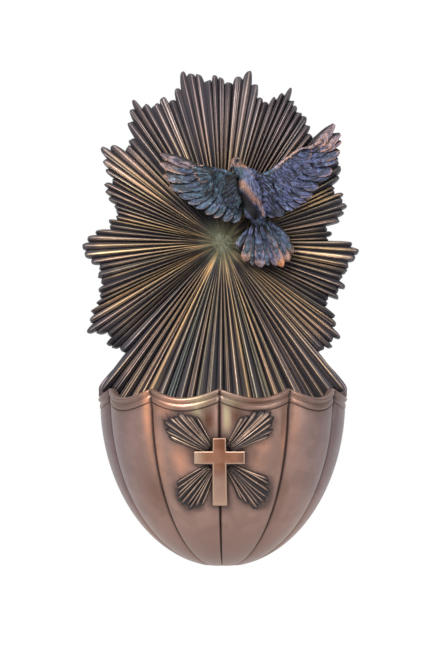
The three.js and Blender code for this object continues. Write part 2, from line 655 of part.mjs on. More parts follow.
const leftPin = shoulderDowel("wing_dowel_left", -1, LEFT_PIN_CLIMB);
const rightPin = shoulderDowel("wing_dowel_right", 1, RIGHT_PIN_CLIMB);
const tailPin = wingDowel("tail_dowel", onBird(TAIL_PIN.inside), onBird(TAIL_PIN.outside));

function makeDoveBody() {
  const front = box(vec(-WIDE, -WIDE, -WIDE), vec(WIDE, -seatDepth, WIDE));
  const bird = union([bodyLoft(0), head(), beak()]).intersect(front).subtract(platePleats(FIT));
  return [...dovePins, leftPin, rightPin, tailPin].reduce((made, pin) => made.subtract(holeFor(pin)), bird);
}

function besideBody(piece, pin) {
  return piece.subtract(bodyLoft(FIT)).subtract(holeFor(pin));
}

// Cross and sprays

// A chamfered bar from back to front, seen along the bar: points of one ring.
function barRing(at, half, back, front) {
  const chamfer = CROSS_CHAMFER;
  return [at(-half, back), at(half, back), at(half, front - chamfer), at(half - chamfer, front),
    at(-half + chamfer, front), at(-half, front - chamfer)];
}

function makeCross() {
  const faceDepth = (z) => planShare(z) * (CREASE_RADIUS + LOBE_BULGE / 2) + CROSS_RISE;
  const inside = BOWL_WALL;
  const upright = loft(Array.from({ length: CROSS_STEPS + 1 }, (_, i) => {
    const t = i / CROSS_STEPS;
    const z = mix(CROSS_TOP_Z, CROSS_BOTTOM_Z, t);
    const half = mix(CROSS_BAR_TOP, CROSS_BAR_FOOT, t) / 2;
    return barRing((x, depth) => vec(x, -depth, z), half, faceDepth(z) - CROSS_RISE - inside, faceDepth(z));
  }));
  const half = CROSS_ARM_SPAN / 2;
  const arms = loft([-half, half].map((x) =>
    barRing((dz, depth) => {
      const z = CROSS_ARM_Z + dz;
      return vec(x, -(depth + faceDepth(z) - faceDepth(CROSS_ARM_Z)), z);
    }, CROSS_ARM_HEIGHT / 2, faceDepth(CROSS_ARM_Z) - CROSS_RISE - 2 * inside, faceDepth(CROSS_ARM_Z))));
  return upright.add(arms).subtract(bowlSkin(FIT));
}

// A spray: a pleated fan on the lobes, spread out from the middle of the cross. Its columns are by
// turns a valley and the crest of a ray.
function makeSpray({ from, to, reach }, seed) {
  const random = randomFrom(seed);
  const last = 2 * SPRAY_RAYS;
  return loft(Array.from({ length: last + 1 }, (_, column) => {
    const crest = column % 2 === 1;
    const angle = radians(mix(from, to, column / last));
    const bow = 1 - SPRAY_BOW * Math.abs((2 * column) / last - 1);
    const length = reach * bow * (1 - SPRAY_LENGTH_SPREAD * random()) - (crest ? 0 : SPRAY_NOTCH);
    const uneven = 1 + SPRAY_RISE_SPREAD * (2 * random() - 1);
    const rise = crest ? SPRAY_RISE * uneven : SPRAY_VALLEY;
    const at = (radius, out) => {
      const [x, z] = [radius * Math.cos(angle), CROSS_ARM_Z + radius * Math.sin(angle)];
      return vec(x, -(bowlDepth(x, z) + out), z);
    };
    const middle = (SPRAY_ROOT + length) / 2;
    return [at(SPRAY_ROOT, SPRAY_VALLEY), at(middle, rise), at(length - SPRAY_BEVEL, rise), at(length, 0),
      at(length, -SPRAY_SINK), at(middle, -SPRAY_SINK), at(SPRAY_ROOT, -SPRAY_SINK)];
  }));
}

// Assembly

const bowl = makeBowl();
const cross = makeCross();
const skinGap = bowlSkin(FIT);
const [barRoom, armRoom] = [CROSS_BAR_FOOT / 2 + FIT, CROSS_ARM_SPAN / 2 + FIT];
const armHalf = CROSS_ARM_HEIGHT / 2 + FIT;
const crossGap = union([
  box(vec(-barRoom, -WIDE, CROSS_BOTTOM_Z - FIT), vec(barRoom, 0, CROSS_TOP_Z + FIT)),
  box(vec(-armRoom, -WIDE, CROSS_ARM_Z - armHalf), vec(armRoom, 0, CROSS_ARM_Z + armHalf)),
]);

const rebate = box(vec(-WIDE, -BACK_WALL - FIT, -WIDE), vec(WIDE, 1, SHOULDER_TOP_Z + FIT));
const cuts = [rebate, hangerRecess(), screwHole(-hangerScrewX), screwHole(hangerScrewX),
  ...[...bowlPins, ...dovePins].map(holeFor)];
const plate = platePleats().subtract(union(cuts));

const stoup = new THREE.Group();
stoup.name = "holy_water_stoup";

const vessel = new THREE.Group();
vessel.add(meshOf("bowl", bowl, ROSE_BRONZE), meshOf("cross", cross, ROSE_BRONZE), ...bowlPins);
Object.entries(SPRAYS).forEach(([name, spray], i) => {
  vessel.add(meshOf(name, makeSpray(spray, i + 3).subtract(skinGap).subtract(crossGap), DARK_BRONZE));
});

const glory = new THREE.Group();
glory.add(meshOf("sunburst_plate", plate, DARK_BRONZE), named("keyhole_hanger", makeHanger(), STEEL),
  hangerScrew("hanger_screw_left", -hangerScrewX), hangerScrew("hanger_screw_right", hangerScrewX));

const dove = new THREE.Group();
dove.add(
  meshOf("dove_body", makeDoveBody(), BLUE_BRONZE),
  meshOf("dove_wing_left", besideBody(wing(LEFT_WING), leftPin), BLUE_BRONZE),
  meshOf("dove_wing_right", besideBody(wing(RIGHT_WING), rightPin), BLUE_BRONZE),
  meshOf("dove_tail", besideBody(tailFan(), tailPin), BLUE_BRONZE),
  ...dovePins, leftPin, rightPin, tailPin,
);

stoup.add(glory, vessel, dove);
export default stoup;
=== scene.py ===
# %% [markdown]
# # A holy water stoup
# A stoup is a small font for holy water that hangs on a wall beside a door. This one is cast in
# bronze-filled resin: a sunburst for its back, a dove flying before it, and a lobed bowl with a cross.
# The construction comes from the frame, at its real size. This lesson makes the looks: finer meshes on
# the same sizes, and finishes of dark patina with the metal rubbed bright on what stands out.

# %% Load the frame
import math
import random

import bmesh
import bpy
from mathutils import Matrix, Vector


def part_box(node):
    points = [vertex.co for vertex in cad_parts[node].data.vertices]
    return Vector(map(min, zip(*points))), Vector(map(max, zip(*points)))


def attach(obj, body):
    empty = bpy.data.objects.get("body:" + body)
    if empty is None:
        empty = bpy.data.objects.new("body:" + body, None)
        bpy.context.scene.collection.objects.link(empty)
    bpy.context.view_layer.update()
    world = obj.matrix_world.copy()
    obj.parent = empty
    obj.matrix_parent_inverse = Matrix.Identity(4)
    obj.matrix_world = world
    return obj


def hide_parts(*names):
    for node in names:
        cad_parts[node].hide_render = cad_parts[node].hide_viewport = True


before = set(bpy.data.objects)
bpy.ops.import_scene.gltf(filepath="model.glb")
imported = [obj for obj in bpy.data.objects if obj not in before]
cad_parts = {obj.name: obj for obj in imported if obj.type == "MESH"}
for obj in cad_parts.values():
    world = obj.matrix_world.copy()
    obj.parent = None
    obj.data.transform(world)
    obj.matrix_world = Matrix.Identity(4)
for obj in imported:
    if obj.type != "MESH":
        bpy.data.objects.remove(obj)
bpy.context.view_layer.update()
MM = 0.001  # sizes below are in millimetres, and the scene is in metres

# %% [markdown]
# ## Camera
# The photograph was taken from about the height of the bowl's rim, because all the points of the
# scalloped rim lie on one level line, and a little from the right. A long lens at 65 centimetres gives
# the same size to the burst, which lies at the wall, and to the bowl, which stands out from it.

# %% Camera
PHOTO_HEIGHT = 659  # pixels
WALL_SCALE = 0.3888  # millimetres of the wall to a pixel
CAMERA_DISTANCE = 650
CAMERA_AIM = Vector((-1.27, 0, -33.2))
CAMERA_YAW = math.radians(1.6)
CAMERA_PITCH = math.radians(-1.9)
SENSOR = 36


def make_camera():
    data = bpy.data.cameras.new("camera")
    data.sensor_fit = "VERTICAL"
    data.sensor_height = SENSOR
    data.lens = SENSOR * CAMERA_DISTANCE / (WALL_SCALE * PHOTO_HEIGHT)
    camera = bpy.data.objects.new("camera", data)
    level = math.cos(CAMERA_PITCH)
    back = Vector((level * math.sin(CAMERA_YAW), -level * math.cos(CAMERA_YAW), math.sin(CAMERA_PITCH)))
    camera.location = (CAMERA_AIM + CAMERA_DISTANCE * back) * MM
    camera.rotation_euler = (-back).to_track_quat("-Z", "Y").to_euler()
    bpy.context.scene.collection.objects.link(camera)
    bpy.context.scene.camera = camera
    return camera


print("camera lens", round(make_camera().data.lens, 1), "mm")

# %% [markdown]
# ## Small helpers for meshes
# Each piece is a bmesh in millimetres. An operator gives it the right net of faces, such as a tube, a
# sheet or a disc, and then every vertex is moved to its place by its address in that net: the share of
# the way along, and the place round or across. The last step scales it to metres and hands it over.


# %% Mesh helpers
def mix(a, b, share):
    return a + (b - a) * share


def smooth(low, high, value):
    share = min(1, max(0, (value - low) / (high - low)))
    return share * share * (3 - 2 * share)


def curve_point(points, share):
    """A place on a smooth curve through the points."""
    spans = len(points) - 1
    span = min(int(share * spans), spans - 1)
    t = share * spans - span
    a, b, c, d = (Vector(points[min(max(span + k, 0), spans)]) for k in (-1, 0, 1, 2))
    return b + 0.5 * t * (c - a + t * (2 * a - 5 * b + 4 * c - d + t * (3 * (b - c) + d - a)))


def stroke(place, mark):
    """How near a place is to a stroke, from 1 on it down to 0."""
    start, end, half_width = Vector(mark[0]), Vector(mark[1]), mark[2]
    along = end - start
    share = min(1, max(0, (place - start).dot(along) / along.length_squared))
    return math.exp(-((place - start - along * share).length / half_width) ** 2)


def sheet(bm, across, along):
    """A flat sheet, as its vertices with their place across from -1 to 1 and their share along."""
    verts = bmesh.ops.create_grid(bm, x_segments=across, y_segments=along, size=1)["verts"]
    return [(v, v.co.x, (v.co.y + 1) / 2) for v in verts]


def tube(bm, sides, rings):
    """A sheet rolled into a tube with pointed ends, as its vertices with their turn round it, their share
    of its length and their share of its girth. Its seam and ends close when doubles are merged."""
    made = sheet(bm, sides, rings)
    return [(v, math.pi * across, along, 1 if 0.001 < along < 0.999 else 0) for v, across, along in made]


def close_tubes(bm):
    bmesh.ops.remove_doubles(bm, verts=bm.verts, dist=0.002)
    bmesh.ops.recalc_face_normals(bm, faces=bm.faces)


def push_out(bm, faces, move):
    """Gives faces a thickness, and returns the vertices of its far side."""
    made = bmesh.ops.extrude_face_region(bm, geom=faces)["geom"]
    far = [g for g in made if isinstance(g, bmesh.types.BMVert)]
    bmesh.ops.translate(bm, vec=move, verts=far)
    return far


def bevel_edges(bm, edges, offset):
    bmesh.ops.bevel(bm, geom=edges, offset=offset, offset_type="OFFSET", segments=3, profile=0.5,
                    affect="EDGES", material=-1)


def object_of(name, bm):
    """A bmesh in millimetres as an object in metres."""
    bmesh.ops.scale(bm, vec=(MM, MM, MM), verts=bm.verts)
    mesh = bpy.data.meshes.new(name)
    bm.to_mesh(mesh)
    bm.free()
    made = bpy.data.objects.new(name, mesh)
    bpy.context.scene.collection.objects.link(made)
    return made


def applied(piece):
    """The mesh of a piece with its modifiers worked in."""
    return bpy.data.meshes.new_from_object(piece.evaluated_get(bpy.context.evaluated_depsgraph_get()))


def settle(piece, material, nodes, corner=40):
    """Gives a piece its finish and its place in the part. Edges sharper than the corner stay sharp."""
    piece.data.shade_smooth()
    piece.data.set_sharp_from_angle(angle=math.radians(corner))
    piece.data.materials.clear()
    piece.data.materials.append(material)
    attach(piece, "root")
    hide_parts(*nodes)
    print(piece.name, len(piece.data.polygons), "faces for", ", ".join(nodes))


# %% [markdown]
# ## Small helpers for finishes
# A finish is a tree of shader nodes. These helpers add one node, set or link its sockets, and read the
# values that a mesh carries on its vertices, so that each finish below reads as a recipe.

# %% Finish helpers
BUMP_STRENGTH = 0.35


def colour(code):
    """A colour written as it looks on a screen, as a shader takes it."""
    parts = [int(code[i:i + 2], 16) / 255 for i in (0, 2, 4)]
    return [p / 12.92 if p <= 0.04045 else ((p + 0.055) / 1.055) ** 2.4 for p in parts] + [1]


def plug(tree, socket, value):
    if isinstance(value, bpy.types.NodeSocket):
        tree.links.new(value, socket)
    else:
        socket.default_value = value


def node(tree, kind, inputs=None, **settings):
    made = tree.nodes.new(kind)
    for key, value in settings.items():
        setattr(made, key, value)
    for key, value in (inputs or {}).items():
        plug(tree, made.inputs[key], value)
    return made


def blend(tree, share, first, second):
    mixer = node(tree, "ShaderNodeMix", data_type="RGBA")
    plug(tree, mixer.inputs[0], share)
    plug(tree, mixer.inputs[6], first)
    plug(tree, mixer.inputs[7], second)
    return mixer.outputs[2]


def maths(tree, operation, first, second=0.0):
    return node(tree, "ShaderNodeMath", {0: first, 1: second}, operation=operation).outputs[0]


def fade(tree, value, low, high, start=0.0, end=1.0):
    """A value that goes smoothly from start to end while another goes from low to high."""
    return node(tree, "ShaderNodeMapRange", {
        "Value": value, "From Min": low, "From Max": high, "To Min": start, "To Max": end,
    }, interpolation_type="SMOOTHSTEP").outputs["Result"]


def two_tone(tree, cloud, first, second, spread=0.15):
    """Two colours, in the patches of a noise."""
    return blend(tree, fade(tree, cloud, 0.5 - spread, 0.5 + spread), colour(first), colour(second))


def carried(tree, name):
    """A value that the mesh carries on its vertices."""
    return node(tree, "ShaderNodeAttribute", attribute_name=name).outputs["Fac"]


def places(tree):
    return node(tree, "ShaderNodeTexCoord").outputs["Object"]


def parts(tree, vector):
    """The three parts of a vector, by the names of their axes."""
    return node(tree, "ShaderNodeSeparateXYZ", {"Vector": vector}).outputs


def noise(tree, place, scale, detail, roughness):
    return node(tree, "ShaderNodeTexNoise", {
        "Vector": place, "Scale": scale, "Detail": detail, "Roughness": roughness}).outputs["Fac"]


def new_finish(name):
    material = bpy.data.materials.new(name)
    material.use_nodes = True
    return material, material.node_tree


def complete(material, shown, metallic, dullness, height, depth):
    """Ends a finish: its colour, how metallic and how dull it is, and a fine bump from a height."""
    tree = material.node_tree
    shader = tree.nodes["Principled BSDF"]
    plug(tree, shader.inputs["Base Color"], shown)
    plug(tree, shader.inputs["Metallic"], metallic)
    plug(tree, shader.inputs["Roughness"], dullness)
    bump = node(tree, "ShaderNodeBump", {"Height": height, "Strength": BUMP_STRENGTH, "Distance": depth})
    plug(tree, shader.inputs["Normal"], bump.outputs["Normal"])
    return material


# %% [markdown]
# ## Two shared effects
# All the castings were coated dark and then rubbed, so bright metal shows on crests and edges and the
# hollows stay dark. The rubbing is never even: a fine grain breaks up its edge. The second effect is a
# slow cloud of tone, as on any hand-finished metal, with a fine grit for the bump.


# %% Shared effects
def effect(name, inputs, outputs):
    group = bpy.data.node_groups.new(name, "ShaderNodeTree")
    for key, value in inputs.items():
        group.interface.new_socket(key, in_out="INPUT", socket_type="NodeSocketFloat").default_value = value
    for key in outputs:
        group.interface.new_socket(key, in_out="OUTPUT", socket_type="NodeSocketFloat")
    return group, group.nodes.new("NodeGroupInput"), group.nodes.new("NodeGroupOutput")


def make_rubbed():
    group, given, result = effect("rubbed metal", {"Rub": 0.5, "Grain": 900, "Break": 0.4}, ["Mask"])
    grain = noise(group, places(group), given.outputs["Grain"], 4, 0.6)
    uneven = maths(group, "SUBTRACT", grain, 0.5)
    broken = maths(group, "MULTIPLY", uneven, given.outputs["Break"])
    level = maths(group, "ADD", given.outputs["Rub"], broken)
    plug(group, result.inputs["Mask"], fade(group, level, 0.15, 0.85))
    return group


def make_mottle():
    group, given, result = effect("metal mottle", {"Size": 60}, ["Cloud", "Grit"])
    fine = maths(group, "MULTIPLY", given.outputs["Size"], 25)
    plug(group, result.inputs["Cloud"], noise(group, places(group), given.outputs["Size"], 3, 0.5))
    plug(group, result.inputs["Grit"], noise(group, places(group), fine, 3, 0.7))
    return group


RUBBED = make_rubbed()
MOTTLE = make_mottle()


def rubbed(tree, rub, grain, breakup):
    return node(tree, "ShaderNodeGroup", {"Rub": rub, "Grain": grain, "Break": breakup},
                node_tree=RUBBED).outputs["Mask"]


def mottle(tree, size):
    made = node(tree, "ShaderNodeGroup", {"Size": size}, node_tree=MOTTLE)
    return made.outputs["Cloud"], made.outputs["Grit"]


print("effects:", RUBBED.name, "and", MOTTLE.name)

# %% [markdown]
# ## Sunburst: its rays
# The burst has rays of uneven length round a smooth boss. Their ends are corners of the plate in the
# frame, so the lengths are read there: two neighbouring corners at one distance from the middle are the
# end of one ray. The rays that run down into the bowl are spread evenly between the last of these.

# %% Read the rays
BOWL_LOW, BOWL_HIGH = (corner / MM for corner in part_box("bowl"))
PLATE_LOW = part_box("sunburst_plate")[0] / MM
LOBE_ANGLE = math.radians(33.5)
CREASE_RADIUS = 45.9
LOBE_BULGE = 1.6
EQUATOR_Z = -60
BOWL_DROP = 64.9
BOWL_WALL = 3
RIM_PEAK_Z = -56
TONGUE_RAYS = 25
TONGUE_GAP = 1.4
SHOULDER_EDGE = ((39, -43.6), (44.6, -52.6))  # the sloping edge of the rays beside the bowl
TONGUE_STEP = 0.25
TONGUE_UNEVEN = 0.5  # the places of the tongue's rays vary over this share of a gap
HANGER_ROOM = 0.6
ON_WALL = 0.01  # how near the wall plane a corner counts as on it
BOWL_ROOM = 1
SHORTEST_RAY = 30
SHORTEST_TONGUE_RAY = 57
SAME_REACH = 0.02
RAY_SEED = 23


def plan_share(z):
    """How much of its full plan the bowl has at a height."""
    drop = min(0, z - EQUATOR_Z) / BOWL_DROP
    return math.sqrt(max(0, 1 - drop * drop))


def tongue_half(z):
    """Half the width that the rays may fill: up to the shoulders above the rim, and the basin below it."""
    if z > RIM_PEAK_Z - 1:
        (top_x, top_z), (low_x, low_z) = SHOULDER_EDGE
        return mix(top_x, low_x, (z - top_z) / (low_z - top_z))
    return plan_share(z) * CREASE_RADIUS - BOWL_WALL - TONGUE_GAP


def tongue_reach(turn):
    reach = SHORTEST_TONGUE_RAY
    while True:
        x, z = reach * math.sin(turn), reach * math.cos(turn)
        if abs(x) > tongue_half(z) or z < PLATE_LOW.z:
            return reach
        reach += TONGUE_STEP


def shown_rays():
    """Turn from straight up and reach of the rays whose ends show, clockwise from the left of the bowl."""
    low, high = (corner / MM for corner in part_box("keyhole_hanger"))
    corners = set()
    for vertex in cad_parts["sunburst_plate"].data.vertices:
        x, y, z = vertex.co / MM
        at_hanger = abs(x) < high.x + HANGER_ROOM and low.z - HANGER_ROOM < z < high.z + HANGER_ROOM
        reach = math.hypot(x, z)
        above_bowl = z > BOWL_HIGH.z + BOWL_ROOM
        if abs(y) < ON_WALL and above_bowl and reach > SHORTEST_RAY and not at_hanger:
            turn = (math.atan2(x, z) - math.pi) % (2 * math.pi) + math.pi
            corners.add((round(turn, 4), round(reach, 2)))
    ordered = sorted(corners)
    pairs = zip(ordered, ordered[1:])
    return [((a + b) / 2, reach) for (a, reach), (b, other) in pairs
            if abs(reach - other) < SAME_REACH]


def all_rays():
    rays = shown_rays()
    first, last = rays[0][0] + 2 * math.pi, rays[-1][0]
    chance = random.Random(RAY_SEED)
    for i in range(TONGUE_RAYS):
        turn = mix(last, first, (i + 1 + TONGUE_UNEVEN * (chance.random() - 0.5)) / (TONGUE_RAYS + 1))
        rays.append((turn, tongue_reach(turn)))
    return rays


RAYS = all_rays()
print(len(RAYS), "rays, the longest", max(reach for _, reach in RAYS), "mm")

# %% [markdown]
# ## Sunburst: its mesh
# A spun line would give a disc, but with two thousand steps a spin is slow, so a sheet is wrapped round
# the middle instead: its columns go round, and its rings run from the middle over the front, round the
# edge and back to the middle behind. Sixteen columns make a ray: a roof with a narrow crest off the
# middle and finer ridges on its flanks. Each vertex carries how far it was rubbed and its ray's shade.
# The rubbing is taken off close under the bird to paint its shadow on the rays, and on the rounded ends
# to paint shade where they turn away.

# %% Sunburst mesh
ACROSS = (0, 0.04, 0.1, 0.17, 0.24, 0.31, 0.38, 0.44, 0.5, 0.56, 0.62, 0.69, 0.76, 0.83, 0.9, 0.96)
HUB_RINGS = (0, 0.8, 2, 3.2)
WAY_RINGS = (0, 0.04, 0.09, 0.16, 0.25, 0.37, 0.5, 0.63, 0.76, 0.88, 0.96)
END_TURNS = (0, 20, 40, 56, 70, 80, 90)  # degrees round the end of a ray
WALL_RINGS = ((0.55, 0), (0.2, 0.1), (0.04, 0.35), (0, 0.8))  # share of the depth left, inset
BACK_RINGS = (0.62, 0.12, 0)
HUB_RADIUS = 4.6
HUB_RISE = 0.7
PLATE_CENTRE = 8
PLATE_EDGE = 5.6
PLATE_SPAN = 95
RAY_RISE = 2.2
RAY_NOTCH = 0.8
RAY_BEVEL = 2
VALLEY_BEVEL = 0.8
END_SHARE = 0.6
TIP_ROUND = (4, 2.5)  # a ray as long as its neighbours ends bluntly, one that stands far out is pointed
STAND_OUT = (2, 5.5)
TIP_SLANT = 1.2
CREST_WIDTH = (0.12, 0.2)
CREST_RADIUS = 46  # past this distance from the middle a crest grows no wider
RIDGE_PLACES = (0.17, 0.31, 0.69, 0.83)
RIDGE_WIDTH = 0.04
RIDGE_RISE = 0.2  # of the ray's own rise
RIDGE_RUB = 0.65  # of the rubbing on the crest
HUB_RELIEF = 0.1  # how much of a ray's rise is left at the edge of the boss
HUB_RUB = 0.5  # and of its rubbing
CLIMB_START = 0.22  # a ray's share of its rise where it leaves the boss
CLIMB_WAY = 0.3  # the share of its length on which it gets the rest
DARK_FROM = 0.86  # the share of its length from which a ray gets darker
DARK_END = 0.6  # how much of the rubbing is gone at the end of a ray
END_RUB = 0.1  # on the upright wall at a ray's end
BRIGHT_TURNS = (  # where the rays were rubbed most: degrees clockwise from up, and half-width
    (8, 3), (38, 3), (65, 4), (97, 5), (130, 4), (160, 3), (172, 2.5), (205, 3.5), (240, 3),
    (265, 4), (284, 3), (307, 6), (335, 3), (350, 3))
DULL_TURNS = ((228, 14), (45, 14))
DULL_SHARE = 0.3
LOW_TURNS = ((180, 35),)  # the rays below have paler flanks
GREEN_TURNS = ((186, 3), (199, 3), (222, 2), (122, 2))
BIRD_SHADOW_STROKES = (  # painted shadow of the bird on the rays, taken off their rubbing: strokes from, to and half-width
    ((-20, 16), (7, 7), 4), ((15, 7), (30, 14), 4.5), ((7, -8.5), (26, -7.5), 3), ((20, 3), (27, -5), 3))
BIRD_SHADOW_SHARE = 0.7
INNER_LINES = (7, 18)  # up to the first distance whole rays are bright or dark, past the second only crests


def valley_depth(radius):
    return mix(PLATE_CENTRE, PLATE_EDGE, min(1, (radius / PLATE_SPAN) ** 2))


def turn_share(spots, turn):
    """1 at the turns that are listed, falling off to their sides."""
    gaps = (((math.degrees(turn) - at + 180) % 360 - 180) / half for at, half in spots)
    return max(math.exp(-gap * gap) for gap in gaps)


def ray_traits():
    """What sets the rays apart: the crest's height, place, slope and width, the slant of the tip, finer
    ridges, rubbing of flank, crest and inner end, and shade."""
    chance = random.Random(RAY_SEED + 1)
    traits = []
    for turn, _ in RAYS:
        light = turn_share(BRIGHT_TURNS, turn)
        dulled = 1 - DULL_SHARE * turn_share(DULL_TURNS, turn)
        traits.append({
            "rise": RAY_RISE * chance.uniform(0.7, 1.2),
            "crest": chance.uniform(0.3, 0.7),
            "roof": chance.uniform(0.8, 1.5),
            "width": mix(*CREST_WIDTH, light),
            "slant": chance.uniform(-TIP_SLANT, TIP_SLANT),
            "ridges": {at: chance.choice((0, 0, 0.4, 1)) for at in RIDGE_PLACES},
            "flank": chance.uniform(0, 0.06) + 0.07 * light + 0.04 * turn_share(LOW_TURNS, turn),
            "rub": (chance.uniform(0.6, 0.95) + 0.4 * light) * dulled,
            "inner": chance.choice((0.05, 0.2, 0.9)) * mix(0.6, 1, light),
            "tint": mix(chance.uniform(0, 0.8) * (1 - 0.6 * light), 1, turn_share(GREEN_TURNS, turn)),
        })
    return traits


def neighbour(i, step):
    """The ray before or after another one, with its turn counted on past the full circle."""
    turn, reach = RAYS[(i + step) % len(RAYS)]
    if i + step == len(RAYS):
        turn += 2 * math.pi
    if i + step < 0:
        turn -= 2 * math.pi
    return turn, reach


def ray_column(traits, column):
    """Turn, reach, height, rubbing and shade of a column of the disc."""
    i, step = divmod(column, len(ACROSS))
    share = ACROSS[step]
    trait = traits[i]
    turn, reach = RAYS[i]
    before, after = neighbour(i, -1), neighbour(i, 1)
    edge = abs(2 * share - 1)
    notch = min(reach, (before if share < 0.5 else after)[1]) - RAY_NOTCH
    tip = mix(*TIP_ROUND, smooth(*STAND_OUT, reach - notch))
    crest = trait["crest"]
    place = 2 * share * crest if share < 0.5 else mix(crest, 1, 2 * share - 1)
    ridge = max(high * math.exp(-((share - at) / RIDGE_WIDTH) ** 2) for at, high in trait["ridges"].items())
    flank = trait["flank"] * (1 - smooth(0.82, 1, edge))
    return {
        "turn": mix((turn + before[0]) / 2, (turn + after[0]) / 2, place),
        "reach": mix(reach + trait["slant"] * (2 * share - 1) * (1 - edge), notch, edge ** tip),
        "rise": trait["rise"] * (1 - edge ** trait["roof"] + RIDGE_RISE * ridge),
        "bevel": mix(RAY_BEVEL, VALLEY_BEVEL, edge ** 2),
        "off_crest": edge / trait["width"],
        "rub": trait["rub"],
        "least_rub": max(flank, RIDGE_RUB * trait["rub"] * ridge),
        "inner": trait["inner"],
        "tint": trait["tint"],
    }


def ray_rub(column, radius):
    off_crest = column["off_crest"] / min(1, CREST_RADIUS / radius)
    return max(column["least_rub"], column["rub"] * math.exp(-off_crest ** 2))


def ray_place(column, ring):
    """Distance from the middle, depth from the wall and rubbing of a ring on a column."""
    flat = column["reach"] - column["bevel"]
    if ring < len(HUB_RINGS):
        radius = HUB_RINGS[ring]
        dome = HUB_RISE * (1 - (radius / HUB_RADIUS) ** 2)
        depth = valley_depth(radius) + dome + HUB_RELIEF * column["rise"] * radius / HUB_RADIUS
        return radius, depth, HUB_RUB * column["inner"] * radius / HUB_RADIUS
    ring -= len(HUB_RINGS)
    if ring < len(WAY_RINGS):
        way = WAY_RINGS[ring]
        radius = mix(HUB_RADIUS, flat, way)
        climb = mix(CLIMB_START, 1, smooth(0, CLIMB_WAY, way))
        rub = mix(column["inner"], ray_rub(column, radius), smooth(*INNER_LINES, radius))
        rub *= 1 - DARK_END * smooth(DARK_FROM, 1, way)
        return radius, valley_depth(radius) + column["rise"] * climb, rub
    ring -= len(WAY_RINGS)
    if ring < len(END_TURNS):
        turn = math.radians(END_TURNS[ring])
        radius = flat + column["bevel"] * math.sin(turn)
        high = valley_depth(flat) + column["rise"]
        depth = mix(END_SHARE * valley_depth(flat), high, math.cos(turn))
        # round the end the rubbing falls off as it turns: painted shade on the rounded end of the ray
        return radius, depth, (1 - DARK_END) * ray_rub(column, radius) * math.cos(turn) ** 6
    ring -= len(END_TURNS)
    if ring < len(WALL_RINGS):
        share, inset = WALL_RINGS[ring]
        return column["reach"] - inset, END_SHARE * valley_depth(flat) * share, END_RUB
    return column["reach"] * BACK_RINGS[ring - len(WALL_RINGS)], 0, 0


def make_burst():
    bm = bmesh.new()
    rub = bm.verts.layers.float.new("rub")
    tint = bm.verts.layers.float.new("tint")
    rings = len(HUB_RINGS) + len(WAY_RINGS) + len(END_TURNS) + len(WALL_RINGS) + len(BACK_RINGS)
    columns = len(RAYS) * len(ACROSS)
    traits = ray_traits()
    placed = [ray_column(traits, i) for i in range(columns)]
    for v, across, along in sheet(bm, columns, rings - 1):
        column = placed[round((across + 1) / 2 * columns) % columns]
        radius, depth, worn = ray_place(column, round(along * (rings - 1)))
        v.co = (radius * math.sin(column["turn"]), -depth, radius * math.cos(column["turn"]))
        # close under the bird the rubbing is taken off: a painted shadow of the bird on the rays
        v[rub] = worn * (1 - BIRD_SHADOW_SHARE * max(stroke(v.co.xz, mark) for mark in BIRD_SHADOW_STROKES))
        v[tint] = column["tint"]
    bmesh.ops.remove_doubles(bm, verts=bm.verts, dist=0.0001)
    bmesh.ops.recalc_face_normals(bm, faces=bm.faces)
    return object_of("sunburst", bm)


sunburst = make_burst()
print("sunburst", len(sunburst.data.vertices), "vertices")

# %% [markdown]
# ## Sunburst: its back
# The back is flat, with a shallow seat for the steel hanger, a deeper pocket for the head of the wall
# screw, and a rebate where the bowl's back wall lies behind it. They are cut as a moulder would cut
# them, by taking away three plain bodies, because a cut edge then stays crisp.

# %% Sunburst back
FIT = 0.3
BACK_WALL = 3.6
POCKET_DEPTH = 3
POCKET_HALF = (7.8, 6.8)
PAST = 1  # how far a cutting body stands out behind the back
REBATE_HALF = 70  # wider and lower than the bowl
REBATE_LOW = -140


def stadium(half_width, half_height, z, depth):
    """A flat body with round ends, from behind the wall plane to a depth."""
    bm = bmesh.new()
    verts = bmesh.ops.create_circle(bm, cap_ends=True, segments=48, radius=half_height)["verts"]
    for v in verts:
        x = v.co.x + math.copysign(half_width - half_height, v.co.x)
        v.co = (x, PAST, z + v.co.y)
    push_out(bm, bm.faces[:], (0, -depth - PAST, 0))
    bmesh.ops.recalc_face_normals(bm, faces=bm.faces)
    return object_of("cutter", bm)


def block(low, high):
    bm = bmesh.new()
    for v in bmesh.ops.create_cube(bm, size=1)["verts"]:
        v.co = [mix(a, b, c + 0.5) for a, b, c in zip(low, high, v.co)]
    return object_of("cutter", bm)


def carve(piece, cutter):
    """Takes the cutter's body away from the piece, and removes the cutter."""
    cut = piece.modifiers.new("carve", "BOOLEAN")
    cut.object = cutter
    cut.solver = "MANIFOLD"
    carved = applied(piece)
    piece.modifiers.clear()
    piece.data = carved
    bpy.data.objects.remove(cutter)


hanger_low, hanger_high = (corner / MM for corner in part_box("keyhole_hanger"))
hanger_z = (hanger_low.z + hanger_high.z) / 2
carve(sunburst, block((-REBATE_HALF, -BACK_WALL - FIT, REBATE_LOW),
                      (REBATE_HALF, PAST, BOWL_HIGH.z + FIT)))
carve(sunburst, stadium(hanger_high.x + FIT, (hanger_high.z - hanger_low.z) / 2 + FIT, hanger_z,
                        -hanger_low.y + FIT))
carve(sunburst, stadium(*POCKET_HALF, hanger_z, -hanger_low.y + POCKET_DEPTH))
print("sunburst after cutting", len(sunburst.data.vertices), "vertices")

# %% [markdown]
# ## Sunburst: its finish
# The plate keeps its dark coat in the valleys, and a little of the metal comes through on the flanks. On
# the crests it shows in shades from gold to olive, a few rays are green with verdigris, and they turn
# mauve at the top and near their ends. The shade is carried by each ray, the mauve comes from height and
# distance, and the boss in the middle keeps a mottled green.

# %% Sunburst finish
RAY_SHADES = ("eecb96", "dfb98c", "e8bfa4", "beb38e", "cbb3a6", "8c9c90")


